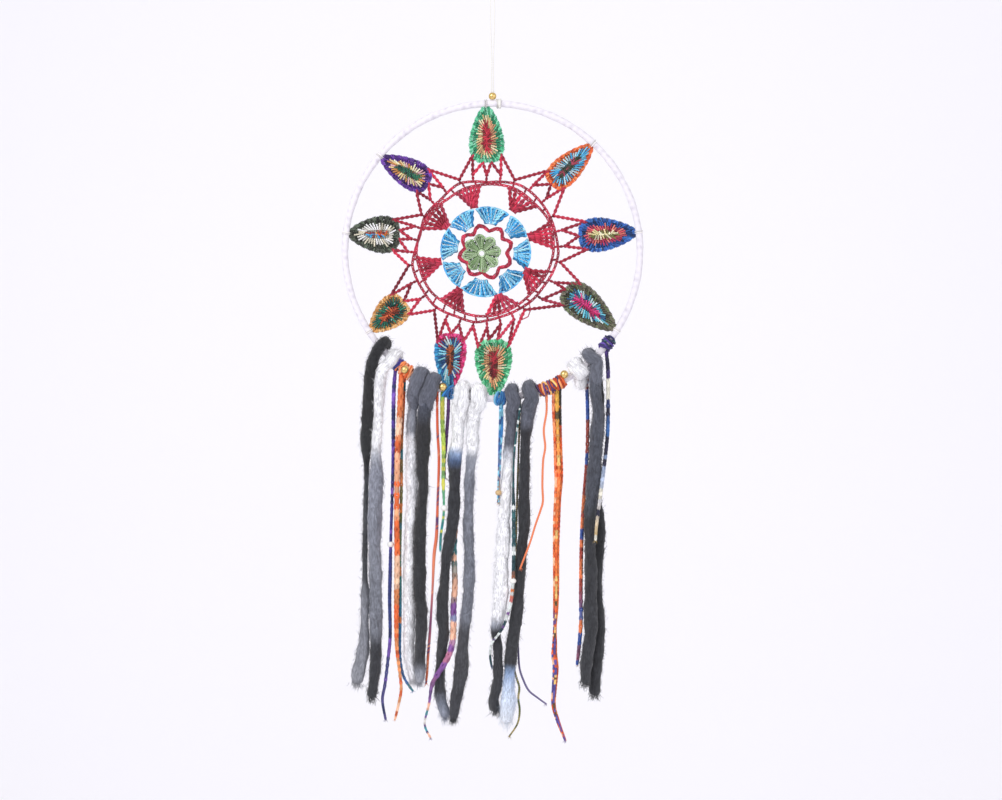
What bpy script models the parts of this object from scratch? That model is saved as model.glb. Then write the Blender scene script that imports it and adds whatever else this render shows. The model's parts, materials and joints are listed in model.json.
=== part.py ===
"""A crocheted dream catcher: a yarn-wrapped hoop with a mandala, nine leaves and five tassels.

Metres, +Z up. The front faces -Y. The origin is where the hook carries the hanging loop.
The hoop stands in the X-Z plane below the origin, and everything below it hangs in -Z.
"""

import bpy
import bmesh
from math import asin, atan2, cos, degrees, pi, radians, sin, sqrt
from mathutils import Vector

MM = 0.001
GAP = 0.0003  # between pieces that touch

# --- driving dimensions -------------------------------------------------------------------
HOOP_R = 0.1475  # centre line of the wrapped hoop
RING_WIRE_R = 0.0020  # the bare ring inside the wrap
WRAP_WALL = 0.0012  # cotton yarn wound on the ring
HOOP_DROP = 0.1395  # from the hook down to the top of the hoop's centre line
HOOP_SEGMENTS = 72  # sides of the hoop all the way round
TUBE_SIDES = 8

LOOP_HEIGHT = 0.0232  # hanging loop, inside the hook's bearing point down to its knot
LOOP_WIDTH = 0.0110
LOOP_TAPER = 0.55  # how much of that width is left beside the knot
LOOP_POINTS = 16
THREAD_R = 0.0008  # one leg of the hanging thread
LEG_SPREAD = 0.00105  # how far the legs open between the knot and the bead
LEG_OPENS = 0.012  # below the knot
LEG_CLOSES = 0.045  # above the hoop
LEG_STEP = 0.008
KNOT_BALL_R = 0.0020

BEAD_WALL = 0.0018  # metal bead on the hanging thread
BEAD_HEIGHT = 0.0068
BEAD_LOOSE = 0.00035  # its hole round the two legs
BEAD_REST = 0.0004  # bead above the wrap

TIE_LENGTH = 0.0040  # the thread's hitch on the hoop, beside the bead
TIE_WALL = 0.0014
TIE_TAPER = 0.6  # wall at the hitch's two ends
SLEEVE_GAP = 0.0005  # knot to wrap

MANDALA_X = -0.0108  # its centre is a little left of the hoop's and below it
MANDALA_Z = -0.0025
FLOWER_R = 0.0196
LATTICE_R = 0.0280
SHELL_R = 0.0440
BAND_IN_R = 0.0605
BAND_OUT_R = 0.0690
NET_THICK = 0.0020
FLOWER_THICK = 0.0040
LEAF_THICK = 0.0030
SHELL_CHAIN = 0.0018  # the rows that close the ring of shells, inside and out
PETALS = 8
PETAL_SEGMENTS = 6
PETAL_NOTCH = 0.14  # depth between petals, for the flower's radius
LATTICE_SEGMENTS = 32
SHELL_GAPS = (99.6, 61.0, 17.5, -17.8, -66.0, -120.0, -175.0, 140.0)  # degrees
SHELL_GAP_HALF = 5.0
FANS = (100.0, 54.0, 22.0, -23.6, -69.0, -121.0, -168.0, 139.5)  # degrees
FAN_APEX_HALF = 5.0
FAN_OUT_HALF = 15.0
BAND_SEGMENTS = 48
FOOT_HALF = 0.0100  # half the width of the struts where they meet a leaf
LEAF_FOOT_HALF = 0.0080  # half the leaf's own blunt foot
LEAF_LOW = 0.60  # a smaller power puts the widest place nearer the foot
LEAF_FULL = 0.60  # a smaller power makes the leaf fuller
LEAF_STEPS = 10

# name, angle of its foot about the mandala's centre (degrees), how far its foot stands off the
# band (mm), where its tip meets the hoop (degrees), width (mm), colour
LEAVES = (
    ("leaf_top", 86.6, 21.7, 92.6, 34.0, (0.26, 0.66, 0.42)),
    ("leaf_upper_right", 45.0, 28.3, 46.8, 28.0, (0.90, 0.36, 0.14)),
    ("leaf_right", 10.3, 29.4, 7.3, 33.0, (0.08, 0.28, 0.55)),
    ("leaf_lower_right", -22.9, 21.3, -32.6, 33.0, (0.26, 0.26, 0.20)),
    ("leaf_bottom_right", -82.4, 17.4, -89.4, 36.0, (0.22, 0.62, 0.36)),
    ("leaf_bottom_left", -111.2, 16.4, -107.2, 31.0, (0.80, 0.07, 0.38)),
    ("leaf_lower_left", -148.6, 21.5, -146.8, 31.0, (0.86, 0.56, 0.30)),
    ("leaf_left", 167.2, 14.9, 173.2, 36.0, (0.17, 0.18, 0.13)),
    ("leaf_upper_left", 127.1, 18.0, 140.0, 29.5, (0.24, 0.10, 0.34)),
)

WOOL_KNOT_WALL = 0.0052  # roving lark's head round the hoop
YARN_KNOT_WALL = 0.0027
# name, x of its middle on the hoop (mm), half its length along the hoop (mm), wall, colour
KNOTS = (
    ("knot_1_white", -107.0, 12.0, WOOL_KNOT_WALL, (0.93, 0.92, 0.90)),
    ("knot_2_grey", -67.5, 13.5, WOOL_KNOT_WALL, (0.28, 0.29, 0.34)),
    ("knot_3_white", -22.5, 15.0, WOOL_KNOT_WALL, (0.94, 0.93, 0.91)),
    ("knot_4_grey", 27.5, 15.5, WOOL_KNOT_WALL, (0.27, 0.28, 0.33)),
    ("knot_5_grey", 93.5, 13.0, WOOL_KNOT_WALL, (0.30, 0.31, 0.36)),
    ("knot_orange", 58.0, 9.5, YARN_KNOT_WALL, (0.86, 0.27, 0.08)),
)

HOOP_BEAD_R = 0.0040
# name, x (mm), how far above the hoop's centre line (mm)
HOOP_BEADS = (
    ("hoop_bead_left", -87.5, 0.0),
    ("hoop_bead_middle", -49.5, 3.0),
    ("hoop_bead_right", 71.5, 5.5),
)

# where each tassel's hinge crosses the hoop: x (mm)
PIVOTS = {
    "tassel_1": -107.0,
    "strands_1": -93.0,
    "tassel_2": -67.5,
    "strands_2": -49.5,
    "tassel_3": -22.5,
    "tassel_4": 27.5,
    "orange_bundle": 64.0,
    "tassel_5": 101.5,
}

# --- free yarn: name, tassel, colour, route of (x, y, z, radius) in millimetres --------------
WOOL = (
    ("tail_1_black", "tassel_1", (0.03, 0.03, 0.035), (
        (-121.0, 1.5, -400.0, 4.8), (-123.0, 1.5, -414.0, 5.5), (-124.2, 1.5, -436.0, 5.4),
        (-125.0, 1.5, -458.0, 5.6), (-126.2, 1.5, -480.0, 5.8), (-126.0, 3.0, -497.0, 3.0),
        (-126.2, 4.0, -514.0, 2.5), (-127.2, 4.5, -553.0, 2.3), (-127.8, 4.0, -580.0, 2.2),
        (-127.6, 3.0, -611.0, 2.3), (-127.2, 2.0, -631.0, 4.4), (-127.8, 1.0, -654.0, 4.2),
        (-128.4, 1.0, -676.0, 5.4), (-130.6, 1.0, -693.0, 6.0), (-134.0, 1.0, -708.0, 6.4),
        (-135.6, 1.0, -720.0, 5.0),
    )),
    ("tail_2_white_grey", "tassel_1", (0.80, 0.80, 0.82), (
        (-111.0, -2.0, -405.0, 5.2), (-112.6, -2.0, -426.0, 5.5), (-114.4, -2.0, -460.0, 5.2),
        (-116.0, -2.0, -480.0, 4.8), (-116.4, -2.0, -492.0, 5.0), (-116.0, -2.0, -508.0, 6.0),
        (-116.4, -2.0, -528.0, 6.6), (-117.6, -2.0, -553.0, 7.0), (-117.8, -2.0, -578.0, 6.8),
        (-117.0, -2.0, -607.0, 6.4), (-116.5, -2.0, -638.0, 6.0), (-116.5, -2.0, -676.0, 5.6),
        (-116.7, -2.0, -698.0, 5.5), (-118.5, -2.0, -716.0, 5.6), (-121.0, -2.0, -734.0, 5.0),
    )),
    ("tail_3_grey_white", "tassel_2", (0.86, 0.86, 0.87), (
        (-78.6, 3.0, -430.5, 4.4), (-80.0, 3.0, -443.0, 4.8), (-81.0, 3.0, -460.0, 5.2),
        (-81.0, 3.0, -486.0, 5.2), (-80.8, 3.0, -513.0, 5.5), (-80.4, 3.0, -540.0, 5.8),
        (-82.8, 3.0, -567.0, 5.8), (-83.6, 3.0, -607.0, 5.3), (-83.2, 3.0, -648.0, 5.6),
        (-83.6, 3.0, -676.0, 5.7), (-83.2, 3.0, -696.0, 5.4), (-80.6, 3.0, -709.0, 4.8),
        (-79.6, 3.0, -718.0, 3.4),
    )),
    ("tail_4_black", "tassel_2", (0.05, 0.055, 0.07), (
        (-66.6, -3.0, -435.5, 5.8), (-68.4, -3.0, -448.0, 6.3), (-69.0, -3.0, -470.0, 6.6),
        (-69.2, -3.0, -490.0, 6.2), (-70.2, -3.0, -506.0, 5.9), (-69.0, -3.0, -524.0, 5.2),
        (-71.6, -3.0, -553.0, 5.6), (-72.6, -3.0, -580.0, 5.6), (-72.6, -3.0, -607.0, 5.6),
        (-73.0, -3.0, -628.0, 5.8), (-70.8, -3.0, -648.0, 6.2), (-71.8, -3.0, -676.0, 6.0),
        (-72.4, -3.0, -693.0, 5.4), (-72.4, -3.0, -709.0, 4.8), (-73.2, -3.0, -719.0, 3.0),
    )),
    ("tail_5_white_black", "tassel_3", (0.10, 0.10, 0.12), (
        (-33.5, 0.0, -444.0, 6.2), (-34.3, 0.0, -460.0, 6.6), (-35.4, 0.0, -479.0, 6.6),
        (-37.8, 0.0, -494.0, 6.6), (-38.0, 0.0, -521.0, 5.0), (-38.6, 0.0, -539.0, 5.3),
        (-39.6, 0.0, -557.0, 5.8), (-42.8, 0.0, -576.0, 6.0), (-46.4, 0.0, -596.0, 5.4),
        (-48.2, 0.0, -621.0, 5.0), (-50.0, 0.0, -636.0, 5.4), (-50.1, 0.0, -655.0, 5.8),
        (-48.6, 0.0, -668.0, 4.6), (-50.2, 0.0, -683.0, 4.7), (-52.0, 1.0, -701.0, 4.9),
        (-53.0, 2.0, -721.0, 5.4), (-51.0, 4.0, -738.0, 6.0), (-46.0, 6.0, -754.0, 5.0),
    )),
    ("tail_6_white_grey", "tassel_3", (0.62, 0.63, 0.67), (
        (-18.7, 0.0, -445.5, 5.8), (-19.8, 0.0, -460.0, 5.8), (-20.0, 0.0, -486.0, 5.4),
        (-21.4, 0.0, -497.0, 4.8), (-22.9, 0.0, -515.0, 4.9), (-23.7, 0.0, -539.0, 5.2),
        (-24.3, 0.0, -563.0, 5.2), (-23.5, 0.0, -588.0, 4.8), (-23.0, 0.0, -611.0, 5.0),
        (-24.7, 0.0, -636.0, 5.4), (-26.9, 0.0, -654.0, 5.6), (-28.8, 0.0, -673.0, 5.8),
        (-30.7, -1.0, -692.0, 6.5), (-31.0, -2.0, -704.0, 6.8), (-33.5, -3.0, -721.0, 6.0),
        (-37.0, -4.0, -738.0, 5.0), (-39.0, -5.0, -756.0, 3.0),
    )),
    ("tail_7_grey_white", "tassel_4", (0.78, 0.79, 0.82), (
        (19.4, 0.0, -445.0, 6.0), (19.5, 0.0, -456.0, 6.0), (18.0, 0.0, -472.0, 5.5),
        (17.0, 0.0, -485.0, 5.7), (15.5, 0.0, -503.0, 5.0), (13.0, 0.0, -527.0, 5.2),
        (11.5, 0.0, -551.0, 6.0), (10.8, 0.0, -576.0, 7.2), (9.0, 0.0, -596.0, 7.5),
        (8.5, 0.0, -616.0, 7.2), (8.0, 0.0, -636.0, 6.9), (5.0, 0.0, -656.0, 5.8),
        (3.3, 0.0, -668.0, 4.2), (5.2, 0.0, -681.0, 4.4), (5.6, 0.0, -696.0, 4.9),
        (5.2, 0.0, -716.0, 5.2), (3.0, 1.0, -728.0, 5.6), (1.0, 3.0, -738.0, 5.8),
        (3.5, 5.0, -748.0, 4.6),
    )),
    ("tail_8_grey_black", "tassel_4", (0.06, 0.065, 0.08), (
        (35.6, 0.0, -444.0, 6.2), (34.6, 0.0, -456.0, 6.4), (33.2, 0.0, -473.0, 5.2),
        (32.5, 0.0, -491.0, 5.6), (31.7, 0.0, -515.0, 5.5), (31.5, 0.0, -539.0, 5.6),
        (31.5, 0.0, -563.0, 5.0), (29.8, 0.0, -581.0, 5.0), (28.4, 0.0, -603.0, 5.0),
        (26.0, 0.0, -634.0, 5.8), (22.7, 0.0, -660.0, 6.1), (19.6, 0.0, -681.0, 5.6),
        (18.1, 0.0, -698.0, 5.3), (16.8, 0.0, -711.0, 5.2), (16.0, -2.0, -726.0, 6.4),
        (15.6, -4.0, -741.0, 8.0), (12.8, -4.0, -758.0, 6.4),
    )),
    ("tail_9_grey_black", "tassel_5", (0.25, 0.26, 0.30), (
        (102.5, -3.0, -414.0, 5.4), (103.2, -3.0, -430.0, 5.8), (105.8, -3.0, -448.0, 6.2),
        (104.6, -3.0, -464.0, 6.7), (103.4, -3.0, -481.0, 6.7), (102.4, -3.0, -496.0, 6.4),
        (101.0, -3.0, -516.0, 6.6), (99.0, -3.0, -536.0, 6.0), (97.5, -3.0, -551.0, 5.8),
        (97.5, -3.0, -581.0, 6.2), (98.3, -3.0, -611.0, 6.2), (98.0, -3.0, -641.0, 6.2),
        (98.3, -3.0, -666.0, 6.2), (95.5, -3.0, -686.0, 6.2), (93.5, -3.0, -704.0, 6.0),
        (93.0, -3.0, -720.0, 5.4),
    )),
    ("tail_10_black", "tassel_5", (0.03, 0.03, 0.035), (
        (104.5, 12.0, -414.0, 5.4), (106.5, 12.0, -448.0, 5.6), (104.5, 12.0, -496.0, 5.6),
        (103.8, 11.5, -536.0, 5.8), (106.2, 9.5, -561.0, 5.8), (106.6, 9.5, -581.0, 5.8),
        (104.4, 10.0, -611.0, 5.8), (105.5, 9.0, -641.0, 6.0), (106.8, 7.5, -661.0, 6.0),
        (106.0, 7.0, -681.0, 5.8), (103.4, 6.5, -706.0, 5.6), (102.2, 5.0, -732.0, 5.2),
    )),
)

YARN = (
    ("strand_purple_navy", "strands_1", (0.13, 0.10, 0.42), (
        (-97.0, 1.0, -406.0, 1.7), (-98.4, 1.0, -420.0, 1.9), (-99.0, 1.0, -440.0, 1.9),
        (-99.2, 1.0, -464.0, 1.8), (-99.6, 1.0, -500.0, 1.6), (-100.6, 1.0, -540.0, 1.6),
        (-101.6, 1.0, -570.0, 1.5), (-102.0, 1.0, -590.0, 1.6), (-102.4, 1.0, -612.0, 1.8),
        (-102.9, 1.0, -636.0, 1.7), (-102.4, 1.0, -672.0, 1.7), (-104.6, 1.0, -696.0, 1.7),
        (-107.6, 1.0, -721.0, 1.6), (-110.2, 1.0, -736.0, 1.4), (-106.8, 1.0, -756.0, 1.2),
    )),
    ("strand_orange_left", "strands_1", (0.93, 0.52, 0.25), (
        (-91.0, -2.0, -413.5, 2.5), (-91.6, -2.0, -424.0, 2.8), (-92.4, -2.0, -446.0, 2.8),
        (-94.4, -2.4, -477.0, 2.8), (-95.2, -2.6, -506.0, 2.7), (-95.8, -2.8, -556.0, 2.7),
        (-95.2, -2.8, -586.0, 2.8), (-95.8, -2.8, -632.0, 2.4), (-96.0, -2.8, -666.0, 2.2),
        (-95.4, -2.6, -686.0, 1.8), (-93.4, -2.4, -703.0, 1.6), (-91.2, -2.2, -724.0, 1.5),
        (-93.4, -2.0, -738.0, 1.4), (-97.4, -2.0, -755.0, 1.2),
    )),
    ("strand_olive_teal", "strands_1", (0.30, 0.28, 0.14), (
        (-88.2, 2.2, -415.0, 1.5), (-88.6, 2.2, -430.0, 1.5), (-89.4, 2.2, -448.0, 1.5),
        (-91.0, 2.2, -480.0, 1.6), (-91.2, 2.2, -526.0, 1.6), (-92.2, 2.2, -566.0, 1.5),
        (-92.8, 2.2, -596.0, 1.5), (-92.4, 2.2, -621.0, 1.5), (-92.4, 2.2, -656.0, 1.5),
        (-92.8, 2.2, -686.0, 1.5), (-91.6, 2.2, -702.0, 1.5), (-88.0, 2.2, -715.0, 1.4),
        (-79.6, 2.2, -727.5, 1.2),
    )),
    ("strand_coral_dashed", "strands_2", (0.82, 0.26, 0.15), (
        (-55.4, 0.0, -433.5, 1.5), (-55.0, 0.0, -466.0, 1.6), (-53.6, 0.0, -496.0, 1.6),
        (-54.8, 0.0, -536.0, 1.5), (-56.0, 0.0, -571.0, 1.9), (-58.4, 0.0, -591.0, 1.9),
        (-59.8, 0.0, -621.0, 1.4), (-61.2, 0.0, -646.0, 1.4), (-62.8, 0.0, -671.0, 1.6),
        (-64.4, 0.0, -691.0, 1.6), (-65.4, 0.0, -708.0, 1.5), (-66.6, 0.0, -720.0, 1.2),
    )),
    ("strand_green_beaded", "strands_2", (0.45, 0.68, 0.42), (
        (-50.0, -2.6, -434.0, 2.1), (-50.0, -2.8, -456.0, 2.1), (-48.8, -3.0, -486.0, 2.0),
        (-49.2, -3.0, -516.0, 1.8), (-48.6, -3.0, -536.0, 1.2), (-48.6, -3.0, -546.0, 1.2),
        (-49.4, -3.0, -556.0, 1.3), (-51.6, -3.0, -571.0, 1.3), (-52.2, -3.0, -586.0, 1.1),
    )),
    ("strand_purple_middle", "strands_2", (0.27, 0.12, 0.36), (
        (-44.0, 1.6, -435.0, 1.6), (-44.2, 2.0, -446.0, 1.7), (-45.6, 2.0, -466.0, 1.7),
        (-47.0, 2.2, -486.0, 1.6), (-48.2, 2.2, -498.0, 1.4), (-47.8, 2.0, -514.0, 1.2),
    )),
    ("strand_multicolour", "tassel_3", (0.42, 0.38, 0.45), (
        (-29.5, 10.0, -446.0, 2.0), (-31.5, 11.0, -476.0, 2.0), (-34.5, 10.0, -516.0, 2.0),
        (-36.5, 9.5, -556.0, 2.2), (-38.5, 7.0, -590.0, 2.8), (-37.5, 1.0, -621.0, 2.9),
        (-39.0, -1.0, -641.0, 2.9), (-39.0, -2.0, -662.0, 2.9), (-40.0, -4.0, -679.0, 2.9),
        (-44.5, -8.5, -693.0, 2.9), (-52.5, -9.5, -706.0, 2.7), (-59.5, -9.5, -717.0, 2.2),
        (-61.5, -9.0, -726.0, 1.6), (-63.5, -8.0, -740.0, 1.3), (-67.5, -8.0, -756.0, 1.1),
        (-66.5, -8.0, -764.0, 1.1), (-61.5, -8.0, -773.0, 1.1),
    )),
    ("strand_blue_beaded", "tassel_4", (0.16, 0.40, 0.66), (
        (8.6, -1.0, -440.5, 1.8), (8.7, -2.0, -452.0, 2.0), (8.3, -3.0, -468.0, 2.0),
        (7.4, -3.6, -486.0, 1.6), (6.8, -4.2, -506.0, 1.4), (6.1, -4.8, -523.0, 1.2),
        (5.6, -5.0, -539.0, 1.0),
    )),
    ("strand_teal_chain", "tassel_4", (0.10, 0.24, 0.27), (
        (27.0, -6.5, -447.0, 0.9), (24.5, -7.5, -466.0, 0.9), (21.5, -7.5, -491.0, 0.9),
        (20.8, -5.0, -522.0, 1.2), (21.1, -4.4, -541.0, 1.8), (21.3, -4.4, -566.0, 2.0),
        (21.3, -4.8, -586.0, 2.0), (21.0, -6.0, -604.0, 1.8), (20.1, -7.0, -621.0, 1.6),
        (18.3, -8.0, -638.0, 1.6), (14.8, -8.8, -651.0, 1.4), (10.3, -9.2, -663.0, 1.3),
        (4.2, -8.2, -672.0, 1.2), (-0.8, -6.4, -679.0, 1.2), (-2.4, -5.4, -691.0, 1.2),
        (-0.6, -5.4, -703.0, 1.1),
    )),
    ("strand_coral_thin", "tassel_4", (0.90, 0.42, 0.25), (
        (54.0, 0.0, -434.5, 1.3), (54.0, 0.0, -448.0, 1.3), (51.3, 0.0, -466.0, 1.3),
        (52.7, 0.0, -483.0, 1.3), (50.6, 0.0, -497.0, 1.3), (49.9, 0.0, -521.0, 1.3),
        (50.4, 0.0, -537.0, 1.3), (48.1, -1.0, -546.0, 1.3), (43.2, -3.0, -560.0, 1.2),
        (37.2, -6.4, -579.0, 1.2), (31.4, -9.2, -594.0, 1.1), (27.6, -9.8, -604.0, 1.1),
    )),
    ("strand_grey_blue", "tassel_4", (0.30, 0.34, 0.42), (
        (34.0, 9.6, -443.0, 1.2), (32.5, 9.6, -486.0, 1.2), (31.5, 8.8, -536.0, 1.2),
        (29.6, 8.8, -596.0, 1.2), (26.6, 9.6, -646.0, 1.2), (25.6, 9.0, -676.0, 1.2),
        (26.0, 7.0, -691.0, 1.2), (27.0, 4.0, -704.0, 1.2), (30.0, 1.0, -714.0, 1.2),
        (36.0, -2.0, -726.0, 1.2), (45.0, -2.0, -733.5, 1.1), (54.0, -2.0, -740.0, 1.0),
    )),
    ("strand_brown_green", "tassel_4", (0.36, 0.32, 0.20), (
        (27.4, 9.6, -444.0, 1.2), (26.2, 9.8, -486.0, 1.2), (24.6, 10.0, -536.0, 1.2),
        (23.0, 10.2, -596.0, 1.2), (20.0, 11.0, -646.0, 1.2), (18.0, 11.0, -676.0, 1.2),
        (19.6, 10.6, -696.0, 1.3), (23.2, 9.0, -712.0, 1.3), (26.8, 7.0, -724.0, 1.3),
        (25.8, 5.0, -735.0, 1.3), (27.2, 4.0, -747.0, 1.3), (25.0, 3.0, -760.0, 1.1),
        (16.5, 2.0, -773.0, 1.0),
    )),
    ("strand_orange_bundle", "orange_bundle", (0.91, 0.40, 0.13), (
        (64.0, 0.0, -432.0, 4.6), (64.0, 0.0, -446.0, 4.6), (65.0, 0.0, -476.0, 4.2),
        (65.7, 0.0, -501.0, 4.4), (66.0, 0.0, -516.0, 4.2), (65.0, 0.0, -533.0, 3.6),
        (64.0, 0.0, -556.0, 3.6), (63.5, 0.0, -586.0, 3.2), (63.5, 0.0, -623.0, 3.0),
        (63.0, 0.0, -646.0, 2.6), (62.3, 0.0, -663.0, 1.8), (62.0, 0.0, -679.0, 2.4),
        (61.6, 0.0, -691.0, 3.0), (63.0, 0.0, -704.0, 3.0), (61.8, 0.0, -723.0, 2.6),
        (61.0, 0.0, -741.0, 2.2), (65.0, 0.0, -756.0, 2.0), (69.0, 0.0, -767.0, 1.6),
        (73.0, 0.0, -777.0, 1.2),
    )),
    ("strand_violet_chain", "tassel_5", (0.15, 0.10, 0.38), (
        (114.0, 0.0, -390.5, 1.8), (115.5, 0.0, -406.0, 2.0), (115.6, 0.0, -436.0, 2.0),
        (115.2, -1.0, -466.0, 1.9), (113.4, -4.0, -486.0, 1.8), (110.8, -7.5, -506.0, 1.8),
        (108.2, -10.0, -526.0, 1.7), (105.6, -11.0, -546.0, 1.6), (103.6, -11.4, -561.0, 1.5),
        (102.6, -11.4, -576.0, 1.3),
    )),
    ("strand_red_blue", "tassel_5", (0.62, 0.22, 0.17), (
        (94.5, 8.0, -418.0, 1.8), (95.5, 8.0, -456.0, 1.8), (94.5, 7.5, -496.0, 1.8),
        (91.5, 7.0, -536.0, 1.8), (89.3, 5.5, -576.0, 1.8), (88.6, 3.5, -611.0, 1.9),
        (88.4, 1.5, -636.0, 2.0), (88.6, 1.5, -656.0, 2.0), (86.8, 1.0, -681.0, 1.9),
        (84.6, 1.0, -701.0, 1.4),
    )),
)

YARN_BEAD_WALL = 0.0017
# name, strand, how far down the strand it sits (mm), height (mm), colour
YARN_BEADS = (
    ("bead_white_left", "strand_purple_navy", 174.5, 6.4, (0.92, 0.92, 0.86)),
    ("bead_white_middle", "strand_green_beaded", 109.5, 6.4, (0.95, 0.95, 0.93)),
    ("bead_tan", "strand_blue_beaded", 88.0, 4.6, (0.80, 0.66, 0.44)),
    ("bead_pearl", "strand_teal_chain", 170.0, 5.0, (0.93, 0.93, 0.94)),
)
CORD_STEP = 2.7  # diameters between the points of a cord
THIN_CORD_R = 0.0020  # cords up to this radius take longer steps
THIN_STEP = 0.0115

ROUTE_SAMPLES = 24  # points on the smooth curve between two points of a route
ROUTE_FINE = 0.0005  # for finding a bead's place on its strand
BEAD_ROUND = 0.7  # a yarn bead's solid height for its real height
BEAD_SNUG = 0.00045  # its hole round the strand
HOOP_BEAD_LONG = 0.0072
HOOP_BEAD_HOLE_R = 0.0012

WHITE_COTTON = (0.90, 0.89, 0.88)

# --- derived ------------------------------------------------------------------------------
HOOP_TUBE_R = RING_WIRE_R + GAP + WRAP_WALL
LEG_PINCH = THREAD_R + GAP / 2  # each leg from the middle, inside the bead
BEAD_HOLE_R = LEG_PINCH + THREAD_R + BEAD_LOOSE
BEAD_R = BEAD_HOLE_R + BEAD_WALL
TIE_FROM = BEAD_R + GAP
HOOP_Z = -HOOP_DROP - HOOP_R
TIP_REACH = HOOP_R - HOOP_TUBE_R - SLEEVE_GAP  # how far the leaves' tips reach from the hoop's centre
PIVOT_Z = -LOOP_HEIGHT - THREAD_R - KNOT_BALL_R - GAP


def material(name, colour, roughness=0.9, metallic=0.0):
    mat = bpy.data.materials.new(name)
    mat.use_nodes = True
    shader = mat.node_tree.nodes["Principled BSDF"]
    shader.inputs["Base Color"].default_value = (*colour, 1.0)
    shader.inputs["Roughness"].default_value = roughness
    shader.inputs["Metallic"].default_value = metallic
    return mat


def add_object(name, data, mat, parent=None):
    obj = bpy.data.objects.new(name, data)
    data.materials.append(mat)
    bpy.context.collection.objects.link(obj)
    obj.parent = parent
    return obj


def mesh_object(name, verts, faces, mat, parent=None, smooth=True):
    mesh = bpy.data.meshes.new(name)
    mesh.from_pydata(verts, [], faces)
    bm = bmesh.new()
    bm.from_mesh(mesh)
    bmesh.ops.recalc_face_normals(bm, faces=bm.faces)
    bm.to_mesh(mesh)
    bm.free()
    if smooth:
        mesh.shade_smooth()
        mesh.set_sharp_from_angle(angle=radians(40))
    return add_object(name, mesh, mat, parent)


def empty(name, place, parent=None):
    """An axis marker. place is in world coordinates."""
    obj = bpy.data.objects.new(name, None)
    obj.empty_display_size = 0.01
    bpy.context.collection.objects.link(obj)
    obj.parent = parent
    obj.location = Vector(place) - (world_place(parent) if parent else Vector())
    return obj


def world_place(obj):
    place = Vector(obj.location)
    while obj.parent:
        obj = obj.parent
        place += Vector(obj.location)
    return place


def hoop_depth(x):
    """Height of the hoop's lower centre line at x."""
    return HOOP_Z - sqrt(HOOP_R**2 - x**2)


def hoop_frame(angle):
    """A point of the hoop's centre line and its outward direction. angle from +X, towards +Z."""
    out = Vector((cos(angle), 0.0, sin(angle)))
    return Vector((0.0, 0.0, HOOP_Z)) + out * HOOP_R, out


def hoop_tube(angles, radii, sides=TUBE_SIDES):
    """Rings of points round the hoop's centre line, one ring for each angle and radius."""
    rings = []
    for angle, radius in zip(angles, radii):
        centre, out = hoop_frame(angle)
        ring = []
        for k in range(sides):
            turn = 2 * pi * k / sides
            ring.append(centre + radius * (out * cos(turn) + Vector((0, 1, 0)) * sin(turn)))
        rings.append(ring)
    return rings


def skin(rings, start, sides, closed):
    """Quads between neighbouring rings whose points are numbered from start."""
    faces = []
    count = len(rings)
    for i in range(count if closed else count - 1):
        j = (i + 1) % count
        for k in range(sides):
            n = (k + 1) % sides
            a, b = start + i * sides, start + j * sides
            faces.append((a + k, b + k, b + n, a + n))
    return faces


def sleeve(name, angles, inner, outer, mat):
    """An open-ended tube round the hoop: inner and outer radii at each angle."""
    outside = hoop_tube(angles, outer)
    inside = hoop_tube(angles, inner)
    count = len(angles) * TUBE_SIDES
    verts = [v for ring in outside + inside for v in ring]
    faces = skin(outside, 0, TUBE_SIDES, False) + skin(inside, count, TUBE_SIDES, False)
    for first in (0, count - TUBE_SIDES):
        for k in range(TUBE_SIDES):
            n = (k + 1) % TUBE_SIDES
            faces.append((first + k, first + n, count + first + n, count + first + k))
    return mesh_object(name, verts, faces, mat)


def turned(name, profile, mat, place, along=Vector((0, 0, 1)), sides=12, parent=None):
    """A closed profile of (radius, height) points turned round an axis through place."""
    spin = Vector((0, 0, 1)).rotation_difference(along)
    verts = []
    for k in range(sides):
        turn = 2 * pi * k / sides
        for radius, height in profile:
            verts.append(spin @ Vector((radius * cos(turn), radius * sin(turn), height)))
    faces = []
    count = len(profile)
    for k in range(sides):
        n = (k + 1) % sides
        for i in range(count):
            j = (i + 1) % count
            faces.append((k * count + i, k * count + j, n * count + j, n * count + i))
    obj = mesh_object(name, verts, faces, mat, parent)
    obj.location = Vector(place) - (world_place(parent) if parent else Vector())
    return obj


def bead_profile(radius, height, hole):
    """A barrel bead's wall, from the foot of its hole round its outside and back."""
    points = [(hole, -height / 2)]
    for step in range(1, 6):
        up = -height / 2 + height * step / 6
        points.append((radius * sqrt(max(0.0, 1 - (up / radius) ** 2)), up))
    points.append((hole, height / 2))
    return points


def plate(name, verts, faces, thickness, mat):
    """A flat piece in the hoop's plane, from points (x, z) measured from the mandala's centre."""
    flat = [(MANDALA_X + x, 0.0, HOOP_Z + MANDALA_Z + z) for x, z in verts]
    obj = mesh_object(name, flat, faces, mat, smooth=False)
    solid = obj.modifiers.new("thickness", "SOLIDIFY")
    solid.thickness = thickness
    solid.offset = 0.0
    return obj


def polar(radius, angle):
    return (radius * cos(radians(angle)), radius * sin(radians(angle)))


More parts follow.
